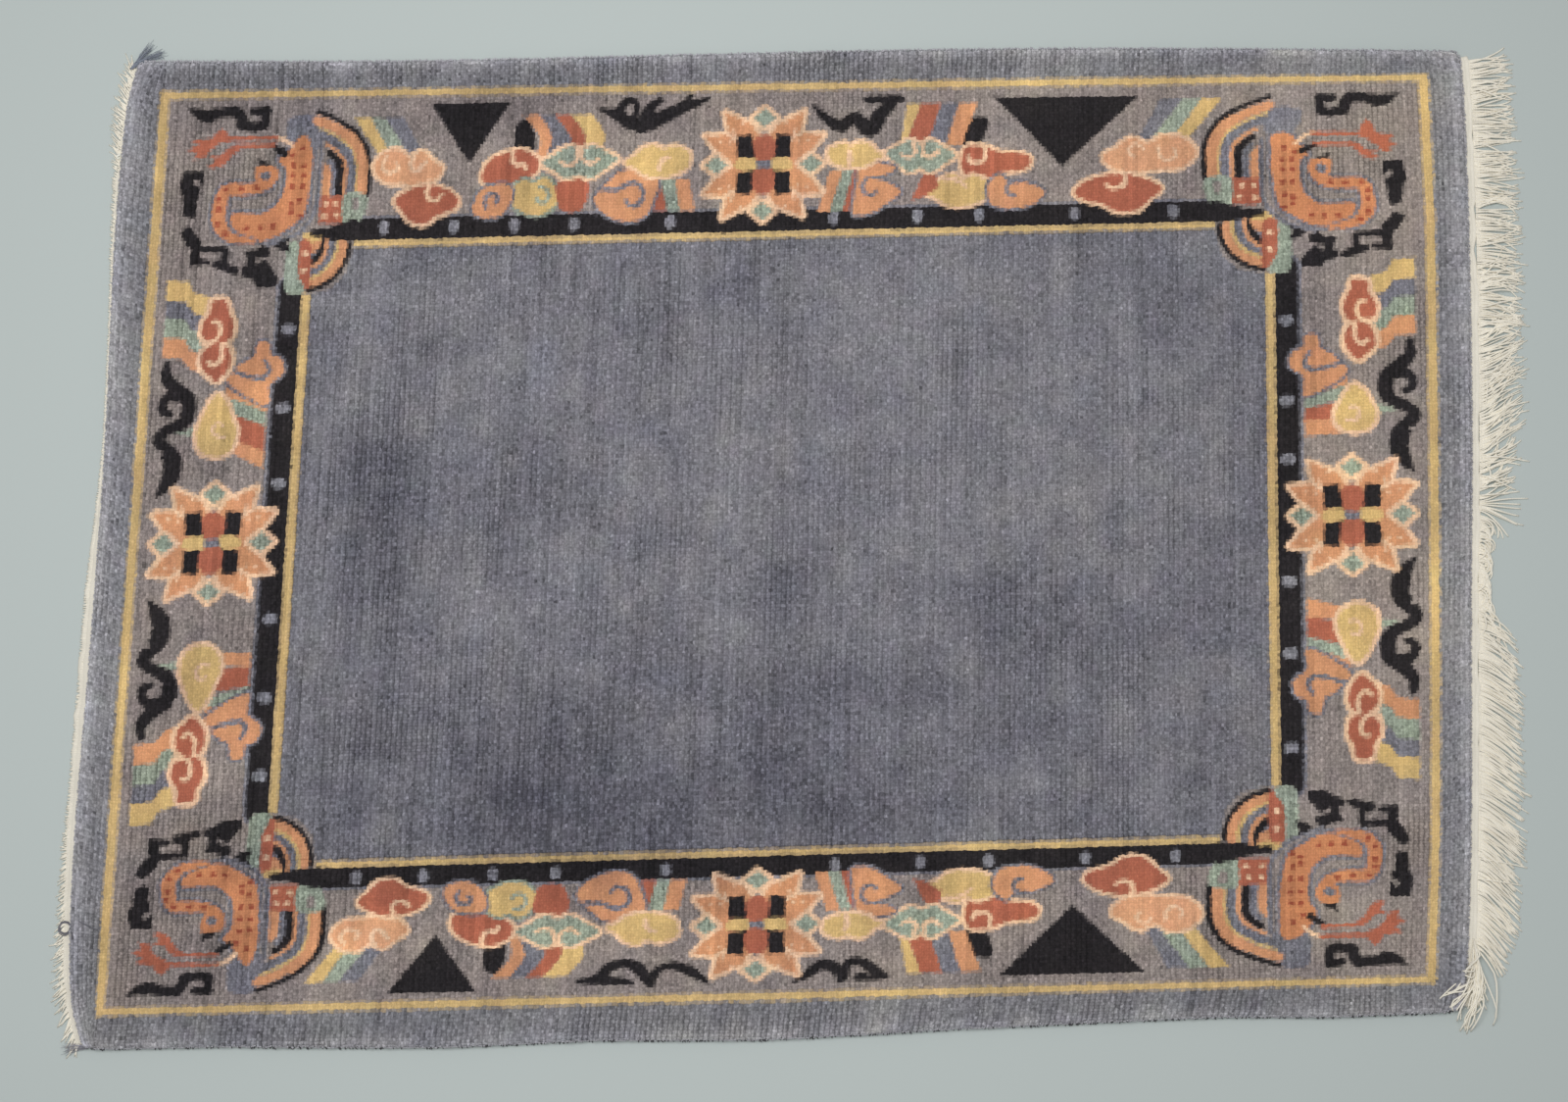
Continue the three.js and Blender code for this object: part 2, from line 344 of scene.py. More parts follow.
def draw_flower(m):
    """Flower of eight petals with diamond tips, about its own centre."""
    quarter = np.array([(0, 20), (13, 43), (42, 56), (37, 33), (62, 31), (45, 9)])
    petals = [[(0, 0), *(quarter * (a, b)), (40 * a, 0)] for a in (1, -1) for b in (1, -1)]
    for petal in petals:
        m.form(None, petal, "cream", 4.5, sharp=True)
    for petal in petals:
        m.form("apricot", petal, sharp=True)
    for a, b in ((0, 50), (0, -50), (50, 0), (-50, 0)):
        m.form("teal", [(a - 12, b), (a, b + 10), (a + 12, b), (a, b - 10)], "cream", 5, sharp=True)
    heart = np.array([(12, 10), (12, 25), (5, 32), (-5, 32), (-12, 25), (-12, 10), (-6, 3), (6, 3)])
    for side in (1, -1):
        for other in (1, -1):
            turned = (side, other)
            m.line("cream", np.array([(38, 33), (30, 27), (33, 38)]) * turned, (5, 3, 2), sharp=True)
            m.form("black", np.array([(9, 5), (28, 8), (29, 31), (13, 33)]) * turned, sharp=True)
            m.dots("cream", np.array([(23, 45), (46, 25), (36, 24)]) * turned, 2.8)
        m.form("rust", heart * (1, side), sharp=True)
        m.form("ochre", [(side * 8, 6), (side * 27, 6), (side * 29, -5), (side * 8, -5)])
    m.form("slate", [(-8, 4), (8, 4), (8, -4), (-8, -4)], sharp=True)


# Feathers of the great wing: distances in from its edge, and the share of the edge that each runs along.
WING_EDGE = ((218, 108), (218, 74), (207, 49), (185, 31), (156, 18))
GREAT_WING = (("black", -1, 4.5, 1.0), ("apricot", 4.5, 16, 0.97), ("ochre", 16, 18.5, 0.92),
              ("slate", 18.5, 28, 0.86), ("apricot", 28, 32, 0.8), ("slate_ground", 39, 45, 0.66),
              ("black", 32, 39.5, 0.74))
# Bands of the small wing: distances in from its rim, and the angle at which each starts.
SMALL_WING = (("black", 0, 5, 0), ("apricot", 5, 13.5, 0), ("ochre", 13.5, 17, -14),
              ("slate", 17, 24, -18), ("apricot", 24, 28, -18), ("black", 28, 35, -18),
              ("slate", 35, 38, -18))
BODY_FLECKS = ((104, 152), (116, 151), (90, 152), (134, 138), (134, 131), (143, 142), (142, 128),
               (134, 114), (144, 114), (134, 100), (144, 100), (134, 87), (144, 88), (132, 74), (142, 66))
NECK_FLECKS = ((68, 157), (60, 148), (60, 134), (59, 125), (66, 116), (82, 116), (97, 115))


def draw_great_wing(m, plume):
    """The great wing in the border, and a plume behind the crane's tail."""
    m.form("slate", [(126, 50), (144, 66), (158, 58), (161, 38), (156, plume + 6), (144, plume),
                     (127, plume + 4), (124, 36)])
    edge = smooth(WING_EDGE, closed=False)
    step = np.gradient(edge, axis=0)
    inward = np.column_stack([step[:, 1], -step[:, 0]]) / np.hypot(*step.T)[:, None]
    for yarn, near, far, share in GREAT_WING:
        feather = (edge + inward * (near + far) / 2)[:round(len(edge) * share)]
        narrowing = np.clip(np.linspace(3.2, 0, len(feather)), 0.8, 1)
        m.line(yarn, feather, (far - near + BAND_OVERLAP) * narrowing, sharp=True)
    m.line("apricot", [(168, 108), (168, 84), (165, 76)], (9, 9, 4))
    m.form("rust", [(162, 109), (190, 109), (190, 138), (162, 138)], sharp=True)
    m.dots("cream", [(168, 130), (182, 129), (169, 117), (180, 117)], 5)
    m.form("teal", [(190, 108), (216, 109), (215, 128), (205, 138), (190, 138)])
    m.form("ground", [(200, 112), (208, 113), (206, 124), (200, 124)])


def draw_small_wing(m):
    """The small wing over the corner of the field, and the end of the black band."""
    m.form("ground", [(140, 140), (206, 140), (206, 165), (200, 190), (185, 207), (165, 212), (140, 212)],
           sharp=True)
    for yarn, near, far, first in SMALL_WING:
        m.ring(yarn, (157, 160), (47 - near, 50 - near), far - near, first, 84)
    m.form("apricot", [(160, 150), (172, 150), (170, 164), (160, 168)])
    m.form("ochre", [(153, 147), (172, 148), (170, 155), (156, 157)])
    m.form("rust", [(150, 158), (161, 157), (163, 190), (162, 206), (155, 205), (150, 190)])
    m.dots("cream", [(156, 187), (156, 169)], 5.5)
    m.form("teal", [(137, 162), (148, 158), (150, 190), (158, 208), (148, 213), (137, 205)])
    m.form("black", [(210, 132), (210, 157), (188, 156), (172, 152), (160, 151), (160, 144), (178, 142),
                     (192, 137)], sharp=True)


# Outlines of a crane's tail.
POINTED_END = ((118, 79), (129, 66), (143, 47), (152, 70))
BLUNT_END = ((118, 76), (127, 60), (137, 50), (153, 50), (154, 72))


def draw_crane(m, end):
    """The curled crane, with its neck wound round its body; end is the outline of its tail."""
    back = end[-1][0]
    beside = back + 8
    m.line("slate", [(beside, 56), (beside, 100), (beside - 2, 136), (142, 158), (112, 169)],
           (5, 5, 5, 4.5, 4))
    m.form("orange", [*end, (back, 100), (150, 132), (144, 144), (129, 155), (113, 163), (98, 163), (82, 157),
                      (74, 149), (75, 138), (103, 139), (117, 132), (125, 119), (126, 92)], "slate")
    neck = [(113, 97), (108, 110), (92, 116), (67, 117), (61, 129), (61, 147), (74, 160), (98, 165)]
    m.line("slate", neck, (17, 18, 19, 20, 21, 21, 16, 7))
    m.line("orange", neck, (10, 11, 12.5, 13.5, 14.5, 14.5, 10.5, 4))
    m.form("orange", [(95, 88), (105, 86), (116, 89), (119, 99), (115, 108), (104, 110), (96, 103)])
    m.form("slate", [(99, 99), (105, 94), (111, 99), (105, 105)])
    m.form("black", [(95, 75), (98, 86), (111, 86), (108, 81), (103, 80)], sharp=True)
    m.line("black", [(110, 62), (124, 72)], (5, 8))
    m.line("cream", [(112, 49), (122, 53), (131, 61)], 4)
    m.line("rust", [(114, 50), (66, 51)], 4.5)
    m.form("rust", [(34, 77), (45, 75), (48, 67), (56, 59), (66, 54), (66, 47), (59, 39), (53, 43), (50, 50),
                    (31, 53), (38, 59), (27, 66), (37, 69)], sharp=True)
    m.line("rust", [(112, 61), (74, 62)], 4.5)
    m.form("rust", [(47, 86), (54, 89), (64, 83), (70, 72), (79, 64), (74, 60), (66, 63), (59, 73), (48, 74),
                    (55, 79)], sharp=True)
    m.dots("deep_red", BODY_FLECKS + NECK_FLECKS, 5.6)


# Outlines of the frets that lie between the crane and the gold lines.
FRETS = (
    ((37, 142), (28, 138), (26, 119), (22, 112), (25, 93), (45, 93), (45, 108), (39, 101), (34, 104),
     (36, 110), (43, 114), (39, 128), (40, 136)),
    ((26, 154), (34, 150), (47, 163), (49, 171), (47, 183), (58, 184), (57, 188), (38, 189), (39, 172),
     (33, 167)),
    ((92, 191), (106, 190), (115, 185), (121, 191), (129, 200), (128, 206), (110, 206), (104, 200),
     (92, 197)),
    ((94, 176), (98, 183), (110, 182), (120, 179), (119, 174), (112, 170), (105, 175)),
    ((125, 170), (131, 174), (140, 176), (139, 171), (134, 169), (139, 163), (130, 166)),
)


def draw_frets(m):
    """The broken black frets round the crane."""
    for fret in FRETS:
        m.form("black", fret, "black", 0.9, sharp=True)
    m.line("black", [(44, 172), (74, 173), (74, 188)], (7, 7, 8), sharp=True)
    m.line("black", [(65, 188), (85, 194)], (9, 8), sharp=True)
    m.line("black", [(101, 193), (101, 178)], (10, 9), sharp=True)
    m.line("black", [(27, 18), (44, 25), (60, 22), (76, 22), (83, 33)], (3, 14, 11, 13, 12))
    m.line("black", [(82, 35), (95, 38), (106, 36), (107, 21), (93, 21)], (12, 10, 10, 10, 8), sharp=True)


def draw_left_half(m):
    """Clouds and stripes between the left crane and the flower; places along, then depth."""
    m.form("black", [(279, 12), (365, 12), (323, 77)], sharp=True)
    m.stripes(("ochre", "teal", "slate"), (27, (200, 217, 232, 251)), (68, (228, 241, 260, 276)))
    m.cloud("twin", "coral", 219, 299, 58, 104, flip=-1)
    m.line("cream", [(236, 68), (232, 79), (240, 86), (249, 81), (246, 75)], (3, 4, 4, 4, 3))
    m.line("cream", [(264, 66), (262, 79), (269, 84), (278, 74)], (6, 5, 4.5, 4))
    m.cloud("peak", "rust", 243, 318, 94, 144, flip=-1)
    m.line("cream", [(282, 96), (281, 112), (290, 116), (296, 110)], (5, 4.5, 4, 3.5))
    m.form("black", [(371, 38), (384, 33), (391, 50), (389, 70), (372, 64)])
    m.stripes(("apricot", "slate", "rust", "ochre"), (27, (378, 396, 411, 428, 451)),
              (74, (393, 402, 424, 440, 459)), bulge=11)
    m.cloud("wedge", "rust", 335, 402, 60, 105)
    m.line("cream", [(368, 66), (370, 78), (380, 79), (383, 84)], 4.5)
    m.cloud("bun", "ochre", 366, 428, 90, 137, outline="teal", width=3.5)
    m.curl("teal", (400, 114), 11, 100, -260, 4)
    m.form("rust", [(418, 98), (440, 95), (451, 104), (444, 128), (424, 130), (416, 114)])
    m.form("apricot", [(329, 122), (340, 104), (366, 101), (370, 116), (360, 132), (346, 136), (332, 132)],
           "slate", 3)
    m.curl("slate", (350, 117), 10, 230, -270, 4.5)
    m.cloud("lens", "teal", 396, 484, 57, 99)
    m.line("cream", [(438, 62), (436, 77), (426, 81), (419, 77)], (5, 4.5, 4, 3.5))
    m.line("cream", [(441, 64), (443, 75), (452, 80), (460, 74)], (4, 4, 4, 3.5))
    m.stripes(("rust", "teal", "apricot"), (98, (508, 526, 541, 556)), (132, (520, 534, 547, 563)))
    m.form("apricot", [(457, 116), (470, 100), (486, 88), (510, 86), (524, 98), (520, 118), (512, 136),
                       (496, 143), (476, 138), (462, 128)], "slate", 3)
    m.line("slate", [(462, 108), (482, 107), (496, 101), (507, 108), (506, 121), (496, 126), (490, 120)],
           (4, 5, 5, 5, 5, 4.5, 4))
    m.cloud("bun", "ochre", 484, 560, 57, 99, flip=-1)
    m.line("cream", [(524, 88), (526, 78), (534, 74)], (4, 6, 3))


def draw_far_bat(m):
    """The bat with one back, beside the far flower."""
    m.line("black", [(459, 22), (477, 28), (494, 38), (511, 37), (530, 29), (550, 20), (574, 12)],
           (4, 12, 15, 19, 15, 12, 4))
    m.line("black", [(480, 23), (487, 14), (496, 14), (498, 24), (494, 33)], (11, 8, 7, 7, 7))
    m.line("black", [(508, 30), (515, 18), (525, 13)], (14, 11, 4))
    m.line("black", [(545, 20), (555, 9)], (9, 5))


def draw_near_bat(m):
    """The bat with two wings, beside the near flower."""
    m.line("black", [(462, 21), (480, 24), (493, 37), (507, 40), (519, 34), (530, 22), (540, 33), (556, 35),
                     (572, 27), (588, 15)], (5, 11, 11, 9, 13, 9, 8, 10, 11, 3))
    m.line("black", [(476, 21), (500, 20), (513, 18)], (9, 9, 6))
    m.line("black", [(524, 22), (532, 17)], (8, 8))


def draw_right_half(m):
    """Clouds and stripes between the flower and the right crane; places along, then depth."""
    m.form("black", [(876, 15), (1029, 16), (949, 92)], sharp=True)
    m.stripes(("slate", "teal", "ochre"), (20, (1052, 1076, 1097, 1118)), (64, (1028, 1043, 1064, 1082)))
    m.cloud("twin", "coral", 988, 1094, 57, 105)
    m.curl("cream", (1025, 78), 10, 20, 230)
    m.curl("cream", (1062, 78), 13, 160, 220)
    m.cloud("peak", "rust", 958, 1057, 96, 147)
    m.line("cream", [(1014, 100), (1014, 113), (1003, 117), (996, 114)], (5, 5, 4, 3.5))
    m.form("black", [(843, 42), (856, 37), (870, 38), (867, 58), (857, 67), (843, 68)])
    m.stripes(("ochre", "rust", "slate", "apricot"), (21, (785, 799, 821, 839, 859)),
              (66, (777, 784, 806, 826, 843)))
    m.cloud("flag", "rust", 841, 919, 65, 109)
    m.line("cream", [(867, 70), (866, 84), (853, 86), (850, 80)], 4.5)
    m.cloud("bun", "ochre", 802, 876, 95, 137, flip=-1)
    m.line("cream", [(824, 104), (836, 104), (848, 112)], (5, 4, 3))
    m.form("rust", [(803, 98), (816, 97), (819, 112), (803, 122), (790, 126), (796, 112)], sharp=True)
    m.form("apricot", [(874, 106), (884, 100), (892, 108), (908, 108), (930, 118), (922, 130), (900, 137),
                       (876, 133), (870, 118)], "slate", 3)
    m.curl("slate", (898, 117), 11, 60, 220, 4)
    m.cloud("lens", "teal", 758, 840, 57, 99, flip=-1)
    m.line("cream", [(791, 64), (794, 74), (786, 79), (779, 76)], (4.5, 4.5, 4, 3.5))
    m.line("cream", [(802, 62), (802, 75), (810, 79), (818, 73)], (4.5, 4.5, 4, 3.5))
    m.stripes(("apricot", "teal", "rust"), (93, (704, 718, 729, 738)), (136, (692, 705, 718, 728)))
    m.form("apricot", [(736, 88), (756, 85), (773, 90), (764, 97), (744, 100), (760, 104), (779, 115),
                       (768, 126), (748, 139), (730, 140), (730, 122), (733, 104)], "slate", 3)
    m.curl("slate", (749, 112), 12, 120, 200, 4)
    m.cloud("bun", "ochre", 698, 764, 58, 93)
    m.line("cream", [(724, 86), (725, 76), (722, 70)], (5, 6, 3))


def draw_notched_bat(m):
    """The bat with a notched back, right of the far flower."""
    m.line("black", [(685, 22), (702, 38), (716, 44), (728, 35), (745, 47), (757, 32), (768, 20)],
           (4, 11, 14, 13, 19, 16, 12))
    m.line("black", [(743, 16), (762, 15), (778, 15)], (9, 9, 8))


def draw_arched_bat(m):
    """The bat of two arches, right of the near flower."""
    m.line("black", [(674, 14), (687, 23), (699, 32), (711, 31), (718, 23), (719, 15)], (3, 9, 12, 13, 10, 6))
    m.line("black", [(723, 18), (727, 33), (738, 36), (750, 28), (765, 19)], (8, 10, 9, 12, 4))
    m.line("black", [(738, 18), (764, 18)], (9, 6))


# Stepped stripes of a short border: where each starts and ends, from the flower outwards.
SIDE_STEPS = (("ochre", 275, 253), ("slate", 253, 235), ("teal", 235, 214), ("apricot", 214, 194))
SLANT_YARNS = ("apricot", "teal", "rust", "apricot")
# Each half of the short borders: right, far, shift, slants (outer high, outer low, inner high, inner low),
# middle and half length of the pear, shift of the scroll.
SIDE_HALVES = (
    (False, True, 0, ((168, 150, 150, 133), (151, 132, 135, 118), (135, 108, 120, 92), (110, 98, 94, 76)),
     122, 32, 0),
    (False, False, 9,
     ((175, 156, 165, 154), (158, 150, 154, 138), (143, 122, 138, 117), (114, 102, 119, 104)),
     128, 32, 3),
    (True, True, -5, ((159, 142, 150, 128), (142, 129, 128, 117), (124, 106, 118, 103), (108, 92, 104, 88)),
     117, 24, -12),
    (True, False, -3, ((168, 150, 162, 138), (152, 140, 138, 126), (138, 116, 127, 107), (112, 100, 108, 88)),
     125, 29, -2),
)


def draw_side_half(m, slants, pear_middle, pear_half, scroll):
    """Clouds, stripes and squiggle of a short border; depth first, then distance from the flower."""
    for yarn, high, low in SIDE_STEPS:
        m.form(yarn, [(16, high), (38, high - 2), (44, high - 13), (62, high - 20), (62, low - 18),
                      (46, low - 14), (36, low - 2), (16, low)], sharp=True)
    for yarn, (outer_high, outer_low, inner_high, inner_low) in zip(SLANT_YARNS, slants):
        m.form(yarn, [(84, outer_high), (127, inner_high), (127, inner_low), (84, outer_low)], sharp=True)
    m.form("apricot", np.array([(84, 168), (100, 154), (127, 142), (128, 162), (142, 175), (138, 190),
                                (128, 194), (126, 206), (114, 207), (110, 193), (97, 185), (91, 177)])
           + (0, scroll), "slate", 3)
    m.line("slate", np.array([(91, 177), (106, 172), (120, 170), (127, 177), (122, 188)]) + (0, scroll),
           (4, 4.5, 5, 5, 4))
    m.form("rust", [(64, 251), (78, 252), (81, 240), (87, 228), (85, 213), (78, 207), (85, 199), (86, 184),
                    (79, 172), (72, 168), (65, 174), (57, 183), (58, 198), (66, 207), (57, 214), (55, 226),
                    (62, 240)], "cream", 5)
    m.line("cream", [(56, 209), (68, 209), (74, 218), (72, 228), (66, 229)], (6, 4.5, 4.5, 4.5, 4))
    m.line("cream", [(76, 206), (77, 192), (70, 184), (64, 188)], (5, 4.5, 4.5, 4))
    m.form("teal", [(34, 114), (58, 122), (56, 110)], sharp=True)
    m.form("ochre", np.array(FORMS["pear"]) * (20, pear_half) + (77, pear_middle), "cream", 4.5)
    m.curl("cream", (80, pear_middle - 4), 10, 60, 240, 3.6)
    m.line("black", [(22, 186), (22, 172), (33, 160), (45, 150), (47, 136), (42, 125), (26, 117), (18, 109),
                     (25, 99), (33, 88), (34, 72), (28, 60), (19, 48)],
           (8, 12, 15, 16, 16, 14, 12, 12, 15, 19, 19, 13, 2))
    m.line("black", [(38, 152), (26, 152), (20, 145), (21, 137), (28, 134)], (12, 11, 10, 9, 7))
    m.dots("ground", [(21, 94), (22, 84), (22, 76)], 4.5)


# Places in the common corner, and where they lie in a corner that the weaver drew otherwise.
AS_DRAWN = ((0, 300), (0, 300))
HIGHER_CRANE = ((0, 20, 48, 62, 90, 116, 139, 160, 190, 206, 240),
                (0, 17, 45, 55, 79, 100, 126, 150, 180, 204, 238))
LOWER_CRANE = ((0, 46, 50, 62, 80, 92, 240), (0, 54, 61, 73, 85, 92, 240))
WIDE_WING = ((0, 150, 162, 190, 216, 240), (0, 152, 167, 200, 227, 246))
NARROW_WING = ((0, 30, 60, 150, 162, 190, 216, 240), (0, 29, 64, 155, 168, 194, 217, 240))
# Right end or left, far side or near, great wing and crane along, small wing along, crane across,
# frets across, the crane's tail, and how deep its plume starts.
CORNERS = (
    (False, False, AS_DRAWN, AS_DRAWN, AS_DRAWN, AS_DRAWN, POINTED_END, 16),
    (False, True, NARROW_WING, AS_DRAWN, HIGHER_CRANE, HIGHER_CRANE, POINTED_END, 22),
    (True, False, WIDE_WING, WIDE_WING, AS_DRAWN, AS_DRAWN, BLUNT_END, 16),
    (True, True, WIDE_WING, WIDE_WING, LOWER_CRANE, AS_DRAWN, BLUNT_END, 30),
)
# Dots of the black band along each side, and the middles of the flowers.
BAND_DOTS = {
    "far": (237, 310, 374, 437, 538, 709, 797, 862, 962, 1066),
    "near": (247, 314, 383, 446, 556, 725, 810, 878, 975, 1065),
    "left": (250, 328, 408, 547, 625, 707),
    "right": (250, 346, 420, 547, 608, 693),
}
FLOWERS = ((634, 872), (648, 79), (80, SIDE_FLOWER), (1245, SIDE_FLOWER))
# Where the band and the inner gold line run between the small wings, along and across.
BAND_ALONG = (200, CHART_LENGTH - 208)
BAND_ACROSS = (214, CHART_WIDTH - 206)
# Their lines on the long and the short sides: yarn, depth out from the gold line, and width.
LONG_BAND = (("slate", 16, 26), ("black", 15, 24), ("gold", 0, 6.8))
SHORT_BAND = (("slate", 17, 28), ("black", 16, 24), ("gold", 0, 9))
# A dot of the band: depths from and to, and width.
LONG_DOT = (14, 19, 10)
SHORT_DOT = (14, 18, 11)
# How the near border's motifs lie along it: stretched and shifted at the left; at the right pushed on by so
# much up to a place, and less and less over the next stretch.
NEAR_STRETCH = 1.035
NEAR_SHIFT = -5
NEAR_PUSH = 13
NEAR_UNTIL = 1100
NEAR_EASE = 150


def draw_lines(chart):
    """Ground, field, both gold lines and the black band with its dots."""
    length, width, border = CHART_LENGTH, CHART_WIDTH, BORDER_DEPTH
    chart.box("ground", 0, length, 0, width)
    chart.box("field", border, length - border, border, width - border)
    for u in (0, length):
        chart.box("gold", u - GOLD_END, u + GOLD_END, -GOLD_SIDE, width + GOLD_SIDE)
    for v in (0, width):
        chart.box("gold", -GOLD_END, length + GOLD_END, v - GOLD_SIDE, v + GOLD_SIDE)
    for name, edge, out in (("near", border, -1), ("far", width - border, 1),
                            ("left", border, -1), ("right", length - border, 1)):
        if name in ("near", "far"):
            ends, band, dot, order = BAND_ALONG, LONG_BAND, LONG_DOT, 1
        else:
            ends, band, dot, order = BAND_ACROSS, SHORT_BAND, SHORT_DOT, -1
        for yarn, depth, wide in band:
            chart.line(yarn, [(at, edge + out * depth)[::order] for at in ends], wide)
        for at in BAND_DOTS[name]:
            chart.line("slate_dot", [(at, edge + out * depth)[::order] for depth in dot[:2]], dot[2])


def rug_chart(yarns):
    """The whole design: four corners, two halves of each border and four flowers."""
    chart = Chart(yarns)
    draw_lines(chart)

    def mirrored(right, far, along=AS_DRAWN, across=AS_DRAWN):
        def place(points):
            u, v = points.T
            if along is not AS_DRAWN:
                u = np.interp(u, *along)
            if across is not AS_DRAWN:
                v = np.interp(v, *across)
            return np.column_stack([CHART_LENGTH - u if right else u, CHART_WIDTH - v if far else v])
        return place

    def at_side(right, far, shift):
        def place(points):
            reach = points[:, 1] + shift
            u = CHART_LENGTH - points[:, 0] if right else points[:, 0]
            return np.column_stack([u, SIDE_FLOWER + (reach if far else -reach)])
        return place

    def near_left(points):
        return np.column_stack([points[:, 0] * NEAR_STRETCH + NEAR_SHIFT, points[:, 1]])

    def near_right(points):
        push = NEAR_PUSH * np.clip((NEAR_UNTIL - points[:, 0]) / NEAR_EASE, 0, 1)
        return np.column_stack([points[:, 0] + push, points[:, 1]])

    for right, far, great, small, crane, frets, end, plume in CORNERS:
        draw_great_wing(Motifs(chart, mirrored(right, far, great)), plume)
        draw_small_wing(Motifs(chart, mirrored(right, far, small)))
        draw_crane(Motifs(chart, mirrored(right, far, great, crane)), end)
        draw_frets(Motifs(chart, mirrored(right, far, across=frets)))
    for place, draw_bat in ((mirrored(False, True), draw_far_bat), (near_left, draw_near_bat)):
        draw_left_half(Motifs(chart, place))
        draw_bat(Motifs(chart, place))
    for place, draw_bat in ((mirrored(False, True), draw_notched_bat), (near_right, draw_arched_bat)):
        draw_right_half(Motifs(chart, place))
        draw_bat(Motifs(chart, place))
    for right, far, shift, *parts in SIDE_HALVES:
        draw_side_half(Motifs(chart, at_side(right, far, shift)), *parts)
    for centre in FLOWERS:
        draw_flower(Motifs(chart, lambda points, centre=centre: points + centre))
    return chart


# The near rim's slow wave: share of its length, and how far it is drawn in, in mm.
NEAR_WAVE = ((0, 0.03, 0.10, 0.26, 0.37, 0.49, 0.63, 0.83, 0.90, 1), (0, 1, 3, 0.5, 4, 0, 4, 3.5, -0.5, 0))
# The share of its height at which the pile is widest, the slack in finding it, and width to length.
WIDEST_LEVEL = 0.75
LEVEL_SPARE = 0.2
RUG_SHAPE = 0.72
# How far along the rim, each way, its direction is taken from, in mm.
RIM_REACH = 12


